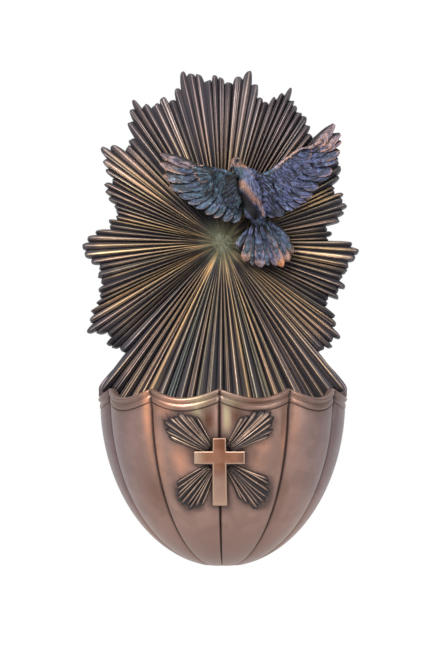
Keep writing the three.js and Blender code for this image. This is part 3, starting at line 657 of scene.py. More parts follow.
def shade_ramp(tree, value, codes):
    """A run of colours, evenly spaced from 0 to 1."""
    ramp = node(tree, "ShaderNodeValToRGB", {"Fac": value})
    steps = ramp.color_ramp.elements
    for i in range(1, len(codes) - 1):
        steps.new(i / (len(codes) - 1))
    for step, code in zip(steps, codes):
        step.color = colour(code)
    return ramp.outputs["Color"]


def burst_finish():
    material, tree = new_finish("burst_bronze")
    xyz = parts(tree, places(tree))
    flat = node(tree, "ShaderNodeCombineXYZ", {"X": xyz["X"], "Z": xyz["Z"]})
    away = node(tree, "ShaderNodeVectorMath", {0: flat.outputs[0]}, operation="LENGTH").outputs["Value"]
    cloud, grit = mottle(tree, 50)
    rub = carried(tree, "rub")
    shade = shade_ramp(tree, carried(tree, "tint"), RAY_SHADES)
    ends = maths(tree, "MULTIPLY", fade(tree, away, 0.044, 0.058, 0, 0.5),
                 fade(tree, xyz["Z"], -0.048, -0.04))
    high = maths(tree, "MAXIMUM", fade(tree, xyz["Z"], 0.015, 0.05, 0, 0.75), ends)
    outer = blend(tree, high, shade, colour("c6b0b3"))
    crest = blend(tree, fade(tree, away, 0.015, 0.055, 0.65, 0), outer, colour("f6d7a2"))
    flank = blend(tree, fade(tree, cloud, 0.3, 0.7, 0.1, 0.3), colour("4b4448"), outer)
    worn = rubbed(tree, rub, 700, 0.35)
    valley = blend(tree, fade(tree, cloud, 0.35, 0.65, 0, 0.6), colour("3a373d"), colour("494143"))
    coat = blend(tree, fade(tree, rub, 0.02, 0.3), valley, flank)
    metal = blend(tree, worn, coat, crest)
    near = maths(tree, "MULTIPLY", fade(tree, away, 0.003, 0.012, 0.8, 0),
                 fade(tree, xyz["Y"], -0.007, -0.006, 1, 0))
    shown = blend(tree, near, metal, two_tone(tree, grit, "77795f", "9b9b86"))
    return complete(material, shown, 0.4, fade(tree, worn, 0, 1, 0.5, 0.36), grit, 0.0001)


settle(sunburst, burst_finish(), ["sunburst_plate"], 50)

# %% [markdown]
# ## Bowl: its mesh
# The bowl is half of a round vessel with six lobes. A flat sheet of faces becomes its whole skin: one
# way runs round the wall from side to side, the other from the middle of the basin's floor up the inside,
# over the rim and down the outside to the foot. Columns stand close together at the creases between the
# lobes, so that these stay sharp. The flat back wall with its two shoulders is a plate of its own.

# %% Bowl mesh
BASE_Z = BOWL_LOW.z
BASIN_Z = BASE_Z + 6
SCALLOP_DEPTH = 3.4
CREASE_DEPTH = 0.8
CREASE_WIDTH = 0.5
LIP_DEPTH = 0.45  # the lobes round off towards the crease
LIP_WIDTH = 1.7
SHOULDER_REACH = 9.5
SHOULDER_ROUND = 2
SHOULDER_STEPS = 6
WALL_STEPS = 23
WALL_TUCK = 3  # the back wall's outline starts this far under the rim and ends as far above the foot
WALL_SIDE = 1.5  # how far its sides lie inside the skin
WALL_START = 0.04  # clear of the wall plane
WALL_ROUND = 0.9
SIDE_MARGIN = 0.02  # radians left free before the last column, which lies on the wall plane
HALF_LOBE = (0, 0.01, 0.02, 0.035, 0.055, 0.08, 0.12, 0.17, 0.23, 0.29, 0.36, 0.43, 0.5)
BASIN_ROUND = (0.8, 1.6)  # from the first of these shares of its height the basin's wall draws in
INNER_WAY = (1, 0.93, 0.82, 0.68, 0.5, 0.32, 0.16, 0)
RIM_WAY = (  # how far under the rim's top edge, and how far out from the wall
    (3.2, -3), (1.6, -2.9), (0.6, -2.5), (0.12, -1.7), (0, -0.8), (0.08, 0), (0.4, 0.55), (0.95, 0.72),
    (1.5, 0.55), (1.85, 0.2), (2.1, -0.1), (2.5, -0.15), (2.75, 0.05), (3.2, 0.16), (4, 0.16), (4.5, 0.1),
    (4.75, -0.25), (5, -0.25), (5.2, 0))
RIM_FACE = 0.9  # from here down the creases between the lobes also part the rim
RIM_CREASE = 0.5
RIM_LINE_DARK = 3  # how dark the lines under the rim are, for each millimetre of their depth
RIM_LINE_DEPTH = 0.5  # what lies deeper is the inside of the rim
OUTER_STEPS = 44
OUTER_WAY = [math.sin(0.5 * math.pi * i / OUTER_STEPS) for i in range(1, OUTER_STEPS)]
BOWL_LAYERS = ("crease", "rim", "copper", "olive_highlight", "brown", "shade")
# painted highlights and reflections in copper, on the lips of the lobes and round the cross
COPPER_HIGHLIGHT_SPOTS = (  # degrees round from the front, height, half-width, half-height and strength
    (-35.6, -66, 1.8, 13, 1), (-30.5, -80, 3, 10, 0.4), (-19, -82, 4, 5, 0.65), (20, -76, 4, 4, 0.4),
    (36.4, -67, 2.4, 11, 0.3), (31, -74, 2, 10, 0.35), (-20, -61, 9, 2, 0.6), (-16, -90, 3, 4, 0.4),
    (-26, -64, 5, 2.5, 0.5), (17, -83, 5, 4, 0.25))
# painted highlights in pale olive beside the middle crease and under the rim
OLIVE_HIGHLIGHT_SPOTS = ((-9.7, -66, 1.6, 5, 0.9), (3.2, -66, 1.2, 5.5, 1), (-9, -60, 5, 3, 0.5), (4, -61, 4, 2, 0.4))
# mostly painted shade and dark reflections in brown: beside creases, under the rim, beside the cross, low on
# the sides
BROWN_SHADE_SPOTS = (
    (-5, -67.5, 3, 5, 1), (7.5, -66, 3, 5, 0.9), (-14.5, -78, 2, 3, 0.6), (17, -60.5, 8, 2.2, 0.7),
    (30, -68, 1.6, 8, 0.6), (-37, -95.5, 6, 8, 0.5), (-31, -66, 1.4, 6, 0.3), (36, -95, 3, 8, 0.3),
    (15.5, -80, 3, 3, 0.5), (37, -66, 2, 9, 0.4))


def lobe_place(angle):
    lobes = abs(angle) / LOBE_ANGLE
    return lobes - math.floor(lobes)


def lobe_radius(angle):
    return CREASE_RADIUS + LOBE_BULGE * (1 - (2 * lobe_place(angle) - 1) ** 2)


def rim_height(angle):
    return RIM_PEAK_Z - SCALLOP_DEPTH * math.sin(math.pi * lobe_place(angle))


def crease_gap(angle):
    """How far from the nearest crease, in millimetres round the wall."""
    return abs(angle - LOBE_ANGLE * round(angle / LOBE_ANGLE)) * CREASE_RADIUS


def bowl_columns():
    half = [LOBE_ANGLE * share for share in HALF_LOBE]
    lobe = half + [LOBE_ANGLE - a for a in reversed(half[:-1])]
    right = [k * LOBE_ANGLE + a for k in (0, 1) for a in lobe[:-1]]
    right += [2 * LOBE_ANGLE + a for a in lobe if 2 * LOBE_ANGLE + a < math.pi / 2 - SIDE_MARGIN]
    right.append(math.pi / 2)
    return [-a for a in reversed(right[1:])] + right


def bowl_levels():
    """The way over the skin, from the floor's middle to the foot's middle."""
    levels = [("floor", 0)]
    levels += [("inner", share) for share in INNER_WAY]
    levels += [("rim", pair) for pair in RIM_WAY]
    levels += [("outer", share) for share in OUTER_WAY]
    return levels + [("foot", 0)]


def bowl_place(angle, level):
    """A place on the skin, and how deep it lies in a crease."""
    kind, share = level
    if kind in ("floor", "foot"):
        return Vector((0, 0, BASIN_Z if kind == "floor" else BASE_Z)), 0
    top = rim_height(angle)
    if kind == "rim":
        z = top - share[0]
        radius = plan_share(z) * lobe_radius(angle) + share[1]
    elif kind == "inner":
        z = mix(top - RIM_WAY[0][0], BASIN_Z, share)
        radius = (plan_share(z) * lobe_radius(angle) - BOWL_WALL) * (1 - smooth(*BASIN_ROUND, share))
    else:
        z = mix(top - RIM_WAY[-1][0], BASE_Z, share)
        radius = plan_share(z) * lobe_radius(angle)
    crease = 0
    gap = crease_gap(angle)
    line = math.exp(-(gap / CREASE_WIDTH * max(0.3, math.cos(angle))) ** 2)  # wider at the sides
    if kind == "rim" and share[0] > RIM_FACE:
        crease = 0.9 * line
        radius -= RIM_CREASE * crease
    if kind == "outer":
        crease = line
        groove = CREASE_DEPTH * crease + LIP_DEPTH * math.exp(-(gap / LIP_WIDTH) ** 2)
        radius -= groove * smooth(0, 0.3, radius / CREASE_RADIUS)
    return Vector((radius * math.sin(angle), -radius * math.cos(angle), z)), crease


def add_back_wall(bm):
    """The flat wall behind the basin, with shoulders that rise behind the burst."""
    half = lobe_radius(math.pi / 2) + max(out for _, out in RIM_WAY)
    top = BOWL_HIGH.z
    bend = RIM_PEAK_Z + SHOULDER_ROUND
    outline = [(half, RIM_PEAK_Z - WALL_TUCK)]
    for i in range(SHOULDER_STEPS + 1):
        t = i / SHOULDER_STEPS
        outline.append((half - SHOULDER_REACH * t * t, mix(mix(RIM_PEAK_Z, bend, t), mix(bend, top, t), t)))
    outline += [(-x, z) for x, z in reversed(outline)]
    for i in range(1, WALL_STEPS + 1):
        z = mix(RIM_PEAK_Z - WALL_TUCK, BASE_Z + WALL_TUCK, math.sin(0.5 * math.pi * i / WALL_STEPS))
        x = plan_share(z) * CREASE_RADIUS - WALL_SIDE
        outline.insert(0, (x, z))
        outline.append((-x, z))
    face = bm.faces.new([bm.verts.new((x, -WALL_START, z)) for x, z in outline])
    front = push_out(bm, [face], (0, -BACK_WALL, 0))
    edges = [e for v in front for e in v.link_edges if all(w in front for w in e.verts)]
    bevel_edges(bm, list(set(edges)), WALL_ROUND)


def spot_share(spots, angle, z):
    """How far a place lies in the brightest of some soft spots."""
    shares = [strength * math.exp(-((math.degrees(angle) - turn) / wide) ** 2 - ((z - level) / high) ** 2)
              for turn, level, wide, high, strength in spots]
    return max(shares)


def make_bowl():
    bm = bmesh.new()
    crease, rim, copper, olive_highlight, brown, _ = (bm.verts.layers.float.new(name) for name in BOWL_LAYERS)
    columns, levels = bowl_columns(), bowl_levels()
    for v, across, along in sheet(bm, len(columns) - 1, len(levels) - 1):
        angle = columns[round((across + 1) / 2 * (len(columns) - 1))]
        level = levels[round(along * (len(levels) - 1))]
        v.co, v[crease] = bowl_place(angle, level)
        if level[0] == "rim":
            below, out = level[1]
            if below > RIM_FACE and -RIM_LINE_DEPTH < out < 0:
                v[crease] = max(v[crease], -RIM_LINE_DARK * out)
            v[rim] = 1
        # soft spots: painted highlights and reflections in copper and pale olive, painted shade and dark
        # reflections in brown
        v[copper] = spot_share(COPPER_HIGHLIGHT_SPOTS, angle, v.co.z)
        v[olive_highlight] = spot_share(OLIVE_HIGHLIGHT_SPOTS, angle, v.co.z)
        v[brown] = spot_share(BROWN_SHADE_SPOTS, angle, v.co.z)
    bmesh.ops.remove_doubles(bm, verts=bm.verts, dist=0.02)
    for v in bm.verts:
        if v.is_boundary:
            v[crease] = v[rim] = 0
    bmesh.ops.holes_fill(bm, edges=[e for e in bm.edges if e.is_boundary], sides=0)
    skin = set(bm.verts)
    add_back_wall(bm)
    # the back wall inside the basin gets painted shade through the crease value
    for v in bm.verts:
        if v not in skin and v.co.y < -1:
            v[crease] = 0.5
    bmesh.ops.recalc_face_normals(bm, faces=bm.faces)
    return object_of("bowl_casting", bm)


bowl = make_bowl()
print("bowl", len(bowl.data.vertices), "vertices")

# %% [markdown]
# ## Bowl: its finish
# The bowl is satin and rose-brown, with painted shade and reflection that turn it violet-grey towards the
# sides, where it turns away. On the lips of the lobes and round the cross, soft spots of painted highlight
# and reflection in orange copper and pale olive, and of painted shade and dark reflection in brown, are
# carried by the mesh, and so are the creases and the lines under the rim, which stay dark. Towards the
# foot it is painted darker as shade.


# %% Bowl finish
def bowl_finish():
    material, tree = new_finish("bowl_bronze")
    xyz = parts(tree, places(tree))
    cloud, grit = mottle(tree, 38)
    blot, _ = mottle(tree, 160)
    sideways = maths(tree, "ABSOLUTE", xyz["X"])
    # painted shade and reflection: violet-grey towards the sides, where the bowl turns away
    side_shade = fade(tree, sideways, 0.022, 0.046, 0, 0.8)
    rose = two_tone(tree, cloud, "93756a", "896c62", 0.2)
    toned = blend(tree, side_shade, rose, colour("6c5f65"))
    rim = blend(tree, maths(tree, "MULTIPLY", carried(tree, "rim"), 0.6), toned, colour("745c50"))
    # painted highlight and reflection in copper, broken up by the cloud
    copper_highlight_mask = maths(tree, "MULTIPLY", carried(tree, "copper"), fade(tree, cloud, 0.2, 0.6, 0.6, 1))
    copper = blend(tree, copper_highlight_mask, rim, colour("cb8d6c"))
    # painted shade and dark reflection in brown
    brown = blend(tree, carried(tree, "brown"), copper, colour("54311b"))
    # painted highlight in pale olive
    olive_highlight = blend(tree, carried(tree, "olive_highlight"), brown, colour("b3a681"))
    # painted shade towards the foot, joined to blots of stain
    foot = fade(tree, xyz["Z"], -0.122, -0.1, 0.35, 0)
    blots_and_foot_shade = maths(tree, "MAXIMUM", fade(tree, blot, 0.4, 0.6, 0.22, 0), foot)
    worn = blend(tree, blots_and_foot_shade, olive_highlight, colour("5a4740"))
    # painted shade close along the cross and the sprays, with the dark coat left there
    shaded = blend(tree, maths(tree, "MULTIPLY", carried(tree, "shade"), 0.8), worn, colour("3f302d"))
    # dark in the creases and the lines under the rim, and painted shade on the back wall inside the basin
    dark = blend(tree, fade(tree, carried(tree, "crease"), 0.1, 0.9, 0, 0.85), shaded, colour("2a2022"))
    return complete(material, dark, 0.6, fade(tree, grit, 0.3, 0.7, 0.32, 0.42), grit, 0.00008)


settle(bowl, bowl_finish(), ["bowl"], 50)

# %% [markdown]
# ## Cross
# The cross is a flat bar and an arm with chamfered edges, bent to the round of the bowl. It is drawn as
# an outline of twelve corners, given its thickness by an extrusion, cut across at many levels so that it
# can bend, bevelled, and then pushed back level by level to follow the bowl's profile.

# %% Cross mesh
CROSS_LOW, CROSS_HIGH = (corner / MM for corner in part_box("cross"))
ARM_Z = -81
ARM_HALF = 9.25
ARM_HEIGHT = 4.7
BAR_TOP = 4.9
BAR_FOOT = 5.6
CROSS_RISE = 2.5
CROSS_CHAMFER = 0.75
CROSS_SINK = 4
CROSS_SLICES = 16


def cross_face(z):
    """How far the cross's face stands out from the wall plane."""
    return plan_share(z) * (CREASE_RADIUS + LOBE_BULGE / 2) + CROSS_RISE


def make_cross():
    low, high = CROSS_LOW.z, CROSS_HIGH.z
    under, over = ARM_Z - ARM_HEIGHT / 2, ARM_Z + ARM_HEIGHT / 2
    width = [mix(BAR_FOOT, BAR_TOP, (z - low) / (high - low)) / 2 for z in (low, under, over, high)]
    right = [(width[0], low), (width[1], under), (ARM_HALF, under), (ARM_HALF, over),
             (width[2], over), (width[3], high)]
    outline = right + [(-x, z) for x, z in reversed(right)]
    bm = bmesh.new()
    face = bm.faces.new([bm.verts.new((x, 0, z)) for x, z in outline])
    push_out(bm, [face], (0, CROSS_SINK, 0))
    bmesh.ops.recalc_face_normals(bm, faces=bm.faces)
    front_edges = [e for e in bm.edges if all(abs(v.co.y) < 0.01 for v in e.verts)]
    bevel_edges(bm, front_edges, CROSS_CHAMFER)
    for i in range(1, CROSS_SLICES):
        z = mix(low, high, i / CROSS_SLICES)
        bmesh.ops.bisect_plane(bm, geom=bm.verts[:] + bm.edges[:] + bm.faces[:], dist=0.0001,
                               plane_co=(0, 0, z), plane_no=(0, 0, 1))
    for v in bm.verts:
        v.co.y -= cross_face(v.co.z)
    return object_of("cross_casting", bm)


# %% [markdown]
# ## Cross: its finish
# The cross was rubbed more than the bowl: copper at its arms and rose on its foot, with a painted
# highlight at the left end of the arm and painted shade at the right one. Its chamfers are the palest and
# the dark coat is left on its sides. The way a face looks tells these from the broad faces, and the place on
# the cross does the rest.


# %% Cross finish
def cross_finish():
    material, tree = new_finish("cross_bronze")
    cloud, grit = mottle(tree, 130)
    xyz = parts(tree, places(tree))
    copper = two_tone(tree, cloud, "6c412c", "8a5f49")
    rose = two_tone(tree, cloud, "806054", "8e7064")
    warm = blend(tree, fade(tree, xyz["Z"], -0.089, -0.084), rose, copper)
    # painted highlight: pale at the left end of the arm
    left_end_highlighted = blend(tree, fade(tree, xyz["X"], -0.0095, -0.0045, 0.7, 0), warm, colour("b9a48c"))
    # painted shade: dark at the right end of the arm
    right_end_shaded = blend(tree, fade(tree, xyz["X"], 0.005, 0.0092, 0, 0.6), left_end_highlighted, colour("583c31"))
    facing = parts(tree, node(tree, "ShaderNodeNewGeometry").outputs["Normal"])["Y"]
    edged = blend(tree, fade(tree, facing, -0.97, -0.85), right_end_shaded, colour("a98a76"))
    shown = blend(tree, fade(tree, facing, -0.7, -0.35), edged, colour("4b352f"))
    return complete(material, shown, 0.6, fade(tree, grit, 0.3, 0.7, 0.36, 0.46), grit, 0.00006)


settle(make_cross(), cross_finish(), ["cross"], 35)

# %% [markdown]
# ## Ray sprays
# In each corner of the cross a fan of narrow rays spreads from the middle. A ray is a tube, flat behind,
# that widens outwards, so that neighbours keep touching, and ends bluntly. It is laid on the bowl with
# its own small bow, and a bright and a fainter line run along it. The reach of a fan is given at five
# places.

# %% Spray meshes
SPRAY_CENTRE_Z = ARM_Z
SPRAY_RAYS = 9
SPRAY_NET = (30, 14)  # faces round a ray and along it
SPRAY_RISE = 1.5
SPRAY_START = 4
SPRAY_SINK = 0.8  # how far a ray reaches into the bowl's wall
SPRAY_BLUNT = (0.86, 1.02)  # shares of its length between which a ray rounds off
SPRAY_LINE = 0.22  # half the width of a bright line, in radians round the ray
SPRAY_SEED = 5
SPRAYS = {  # first and last direction in degrees from the right, and the reach between them
    "ray_spray_upper_left": (119, 157, (17.2, 20.4, 23.2, 24, 20.5)),
    "ray_spray_upper_right": (60, 24, (17.6, 21.4, 24.4, 23.6, 20.2)),
    "ray_spray_lower_left": (213, 249, (19.6, 21.6, 22.4, 22.6, 20)),
    "ray_spray_lower_right": (335, 296, (20.3, 22.7, 24.4, 23.2, 18)),
}


def bowl_depth(x, z):
    """How far the bowl's wall stands out from the wall plane."""
    share = plan_share(z)
    angle = 0
    for _ in range(8):
        angle = math.asin(min(1, max(-1, x / (share * lobe_radius(angle)))))
    return share * lobe_radius(angle) * math.cos(angle)


def spray_reach(name, share):
    return curve_point([(reach, 0, 0) for reach in SPRAYS[name][2]], share).x


def add_spray_ray(bm, rub, turn, reach, spread, rise, bow, lines):
    along = Vector((math.cos(turn), 0, math.sin(turn)))
    side = Vector((-along.z, 0, along.x))
    start = Vector((0, 0, SPRAY_CENTRE_Z))
    for v, round_turn, share, girth in tube(bm, *SPRAY_NET):
        distance = mix(SPRAY_START, reach, share)
        blunt = math.sqrt(1 - smooth(*SPRAY_BLUNT, share) ** 2) * girth
        across = spread * distance * blunt * math.cos(round_turn) + bow * math.sin(math.pi * share)
        spot = start + along * distance + side * across
        up = math.sin(round_turn)
        height = rise * mix(0.4, 1, share) * blunt * up if up > 0 else SPRAY_SINK * up
        off_middle = round_turn - math.pi / 2
        crest = max(worn * math.exp(-((off_middle - line) / SPRAY_LINE) ** 2) for line, worn in lines)
        v[rub] = crest * mix(0.5, 1, smooth(0, 0.4, share)) * (1 - 0.7 * smooth(0.85, 1, share))
        v.co = (spot.x, -bowl_depth(spot.x, spot.z) - height, spot.z)


def make_spray(name):
    first, last, _ = SPRAYS[name]
    chance = random.Random(SPRAY_SEED + first)
    bm = bmesh.new()
    rub = bm.verts.layers.float.new("rub")
    gap = math.radians(abs(last - first)) / (SPRAY_RAYS - 1)
    for i in range(SPRAY_RAYS):
        share = i / (SPRAY_RAYS - 1)
        turn = math.radians(mix(first, last, share)) + gap * chance.uniform(-0.15, 0.15)
        reach = spray_reach(name, share) * chance.uniform(0.96, 1.03)
        spread = 0.8 * gap * chance.uniform(0.7, 1.1)
        rise = SPRAY_RISE * chance.uniform(0.7, 1.2)
        bow = chance.uniform(-0.4, 0.4)
        lines = [(chance.uniform(-0.6, 0.6), 1), (chance.uniform(-1.1, 1.1), chance.uniform(0.2, 0.8))]
        add_spray_ray(bm, rub, turn, reach, spread, rise, bow, lines)
    close_tubes(bm)
    return object_of("rays_" + name.removeprefix("ray_spray_"), bm)


# %% [markdown]
# ## Shade on the bowl
# Close along the cross and between the rays of the sprays the bowl is darkened, both by painted shade
# where these pieces stand over it and by the dark coat that a cloth can't reach. The bowl's mesh gets one
# more value for that, from the distance to these pieces.

# %% Bowl shade
SHADE_REACH = 1.3
SHADE_FRONT = 30  # only the front of the bowl has the cross and the sprays


def cross_gap(x, z):
    """How far a place lies outside the cross."""
    low, high = CROSS_LOW.z, CROSS_HIGH.z
    bar = math.hypot(max(0, abs(x) - BAR_FOOT / 2), max(0, low - z, z - high))
    arm = math.hypot(max(0, abs(x) - ARM_HALF), max(0, abs(z - ARM_Z) - ARM_HEIGHT / 2))
    return min(bar, arm)


def spray_gap(name, x, z):
    """How far a place lies outside a spray's fan."""
    first, last, _ = SPRAYS[name]
    distance = math.hypot(x, z - SPRAY_CENTRE_Z)
    share = ((math.degrees(math.atan2(z - SPRAY_CENTRE_Z, x)) % 360) - first) / (last - first)
    within = min(1, max(0, share))
    sideways = math.radians(abs(share - within) * abs(last - first)) * distance
    return math.hypot(sideways, max(0, distance - spray_reach(name, within)))


def shade_bowl():
    shade = bowl.data.attributes["shade"].data
    darkest = 0
    for vertex in bowl.data.vertices:
        x, y, z = vertex.co / MM
        if y < -SHADE_FRONT and abs(x) < SHADE_FRONT:
            gap = min([cross_gap(x, z)] + [spray_gap(name, x, z) for name in SPRAYS])
            shade[vertex.index].value = math.exp(-(gap / SHADE_REACH) ** 2)
            darkest += gap == 0
    return darkest


print("bowl shaded at", shade_bowl(), "vertices")

# %% [markdown]
# ## Ray sprays: their finish
# The same coat as the burst, rubbed to a pale gold in a thin line along each ray and dark beside it.


# %% Spray finish
def spray_finish():
    material, tree = new_finish("spray_bronze")
    cloud, grit = mottle(tree, 90)
    worn = rubbed(tree, carried(tree, "rub"), 900, 0.55)
    shown = blend(tree, worn, colour("2c2526"), two_tone(tree, cloud, "b0937e", "8a6f60"))
    return complete(material, shown, 0.55, fade(tree, worn, 0, 1, 0.55, 0.36), grit, 0.00006)


spray_bronze = spray_finish()
for spray_name in SPRAYS:
    settle(make_spray(spray_name), spray_bronze, [spray_name])

# %% [markdown]
# ## Dove: a feather
# The wings and the tail are made of single feathers, as a carver would cut them. A feather is a sheet
# with a rounded end, arched across, with a raised shaft. On the wings one edge goes under the next
# feather and the other stands free. A feather carries four values: how far it was rubbed, how dark its
# painted shade is at its root and where it goes under others, a count of its barbs for the fine hatching,
# and its own tint.

# %% Feathers
DOVE_DEPTH = 14.85  # from the wall plane to the middle of the bird
FEATHER_NET = (8, 13)  # faces across and along
FEATHER_THICKNESS = 0.45
SHAFT_RISE = 0.2
SHAFT_WIDTH = 0.25
TIP_LEAST = 0.08
BARB_GAP = 0.6
LIMB_STEP = 0.02
DOVE_LAYERS = ("rub", "deep", "barb", "tint")


def bird(x, out, z):
    """A place on the bird, measured across, out of the middle of the bird and up."""
    return Vector((x, -DOVE_DEPTH - out, z))


def lifted(spot, height):
    """A place that was measured on the bird, at a height over it."""
    return bird(spot.x, spot.y + height, spot.z)


def limb_place(points, share, turn, width, depth):
    """A place on a limb round a curve, by its turn, half the limb's width and half its depth."""
    ahead = curve_point(points, min(1, share + LIMB_STEP)) - curve_point(points, max(0, share - LIMB_STEP))
    side = Vector((ahead.z, 0, -ahead.x)).normalized()
    return lifted(curve_point(points, share) + side * width * math.cos(turn), depth * math.sin(turn))


def dove_layers(bm):
    return [bm.verts.layers.float.new(name) for name in DOVE_LAYERS]


def feather_look(chance, tint, **others):
    """The look of a feather, with its own small differences."""
    look = {"free": 0, "roll": 0, "arch": 0.35, "bend": 0, "rub": chance.uniform(0.2, 0.6), "bare": 0,
            "worn_from": 0.72, "root": 0.7, "swell": 0.7, "deep": 0, "gap": 0.9, "taper": 0.55, "sharp": 2,
            "tint": min(1, max(0, tint + chance.uniform(-0.2, 0.2)))}
    look.update(others)
    return look


def add_feather(bm, layers, root, tip, half_width, look):
    """One feather from root to tip. Its look says which edge is free: 1, -1 or, with both alike, 0."""
    rub, deep, barb, tint = layers
    along = tip - root
    length = along.length
    side = Vector((along.z, 0, -along.x)).normalized()
    front = Vector((0, -1, 0))
    made = sheet(bm, *FEATHER_NET)
    for v, across, share in made:
        free = look["free"] * across
        covered = -free if look["free"] else abs(across) - 0.35
        end = max(0, (share - look["taper"]) / (1 - look["taper"]))
        width = half_width * mix(look["root"], 1, math.sin(0.5 * math.pi * min(1, share / look["swell"])))
        width *= max(TIP_LEAST, 1 - end ** look["sharp"]) ** 0.5
        place = root + along * share + side * (across * width + look["bend"] * length * share * share)
        shaft = max(0, 1 - abs(across) / SHAFT_WIDTH) * SHAFT_RISE
        height = look["arch"] * (1 - across * across) + look["roll"] * free * half_width + shaft
        v.co = place + front * height
        edge = smooth(0.5, 0.95, free if look["free"] else abs(across)) * smooth(0.2, 0.6, share)
        v[rub] = look["rub"] * max(look["bare"], edge, smooth(look["worn_from"], 1, share))
        # painted shade: dark at the root, on the edge that goes under the next feather, and all over as the
        # look asks
        v[deep] = max(1 - smooth(0.05, 0.4, share), look["gap"] * smooth(0.1, 0.7, covered), look["deep"])
        v[barb] = (abs(across) * half_width + 0.5 * share * length) / BARB_GAP
        v[tint] = look["tint"]
    faces = {f for v, _, _ in made for f in v.link_faces}
    bmesh.ops.recalc_face_normals(bm, faces=list(faces))
    if sum(f.normal.y for f in faces) > 0:
        bmesh.ops.reverse_faces(bm, faces=list(faces))


def thicken(bm):
    """Gives all feathers their thickness behind."""
    back = bm.verts[:]
    bmesh.ops.extrude_face_region(bm, geom=bm.faces[:], use_keep_orig=True)
    bmesh.ops.translate(bm, vec=(0, FEATHER_THICKNESS, 0), verts=back)
    bmesh.ops.recalc_face_normals(bm, faces=bm.faces)


# %% [markdown]
# ## Dove: the wings
# A wing is spread between three curves: the bone, the quills, where the long flight feathers start, and
# their tips. One row of flight feathers and four rows of shorter ones lie over each other like tiles. A
# rounded arm runs along the leading edge, with a tuft of three feathers at the wrist, and small feathers
# cover the joint with the body. On the way from bone to tip, 0 is the bone, 1 the quills and 2 the tip.

# %% Wing meshes
WING_SEED = 41
WING_ROWS = (  # feathers (0 for one on each quill), start, end, height and half-width
    (0, 0.85, 2, 0.4, 0.68),
    (13, 0.5, 1.4, 1, 0.64),
    (14, 0.15, 1.02, 1.5, 0.7),
    (15, 0.02, 0.66, 1.9, 0.75),
    (14, -0.05, 0.36, 2.2, 0.8),
)
WINGS = {
    "dove_wing_left": {
        "bone": ((-6.5, 2, 28.2), (-5, 2, 27.6), (-1, 1.4, 26), (6, 0.2, 22)),
        "quills": ((-10.1, 1.8, 27.9), (-12, 1.7, 26), (-10.1, 1.4, 23.7), (-7.5, 1.1, 20.7),
                   (-4.8, 0.8, 18.8), (-3.6, 0.6, 18.2), (-2.6, 0.4, 17.6), (-0.4, 0.2, 16),
                   (1.8, 0, 14.4), (4, -0.2, 13), (6.2, -0.4, 12.3)),
        "tips": ((-23.4, 1.2, 32.8), (-23.6, 1, 29.2), (-22.1, 0.8, 24.4), (-19.8, 0.6, 20.2),
                 (-16.2, 0.5, 17), (-12.8, 0.3, 14.6), (-9.4, 0.1, 12.3), (-5.9, -0.2, 10.2),
                 (-2.7, -0.4, 8.8), (0.9, -0.6, 7.4), (4.6, -0.8, 7)),
        "leading": ((6.4, 1.2, 23.6), (2.8, 2.2, 25.2), (-1, 3, 26.2), (-4.4, 3.4, 27), (-7.4, 3.3, 27.9),
                    (-10.6, 2.6, 28), (-15.4, 2, 29.9)),
        "tuft": ((-3, 4.2, 25), ((-11.2, 4.2, 27.4), (-10.4, 4.4, 25), (-8.8, 4.2, 22.6))),
        "joint": (((5.4, 4, 24.4), (4.6, 4.2, 21), (5.6, 3.8, 17.5), (7, 3, 14)),
                  ((1, 2.8, 22.4), (0.4, 2.4, 17.4), (1.6, 1.8, 13), (4.2, 1, 9.6))),
        "free": -1,
        "bend": 0.04,
        "tint": 0.15,
        "joint_deep": 1,
        "arm_rub": 0.85,
        "arm_worn_from": 0.5,
    },
    "dove_wing_right": {
        "bone": ((31, 2.6, 34.4), (28, 2.2, 32.4), (22.5, 1.4, 28), (16.6, 0.4, 23)),
        "quills": ((35, 2.4, 34.6), (35.2, 2.2, 34), (35, 2.2, 33.2), (34.6, 2, 30.5), (33.9, 1.8, 28.3),
                   (32.4, 1.6, 26), (30.8, 1.3, 24.1), (28.9, 1, 22.2), (27.4, 0.7, 19.9), (25.5, 0.4, 18),
                   (24, 0.1, 16.5), (22.1, -0.2, 15.6), (19.8, -0.4, 14.2), (17.6, -0.4, 13.4)),
        "tips": ((43.1, 1.8, 43.8), (45.3, 1.6, 40), (45.6, 1.6, 37), (45, 1.4, 33.2), (44.3, 1.2, 30.4),
                 (42, 1, 26.6), (40.6, 0.8, 23.6), (36.6, 0.5, 20.2), (34.2, 0.2, 16.8), (32, 0, 14.6),
                 (29.5, -0.3, 12.7), (26.9, -0.5, 11.4), (23.2, -0.8, 9.6), (19.6, -0.8, 9)),
        "leading": ((13, 1, 23.6), (17.8, 2.4, 25.2), (24, 3.4, 29.8), (29.2, 3.8, 33.7), (33.4, 3.4, 34.9),
                    (37.6, 2.8, 37.6), (41.2, 2.2, 41.4)),
        "tuft": ((28.5, 3.6, 31.5), ((34.4, 3.6, 34.2), (34.2, 3.8, 32.4), (33, 3.6, 30.6))),
        "joint": (((13.6, 5, 25), (15.4, 4.8, 21), (16.4, 4, 17), (16.6, 3.4, 13.5)),
                  ((19, 3.4, 23.4), (20.4, 2.8, 17.6), (20.6, 2, 13), (19.4, 1.2, 9.6))),
        "free": 1,
        "bend": -0.04,
        "tint": 0.75,
        "joint_deep": 0.2,
        "arm_rub": 0.8,
        "arm_worn_from": 0.15,
    },
}
JOINT_ROWS = (  # feathers, start, end and height
    (8, 0.42, 1.05, 0), (9, 0.12, 0.72, 0.4), (7, -0.2, 0.38, 0.8))
ARM_NET = (12, 22)  # faces round and along
ARM_RADII = (1.4, 0.6)  # at the body and at the tip
ARM_FLAT = 0.9
ARM_BARBS = 60
ARM_TINT = 0.4
TUFT_HALF_WIDTH = 1.6
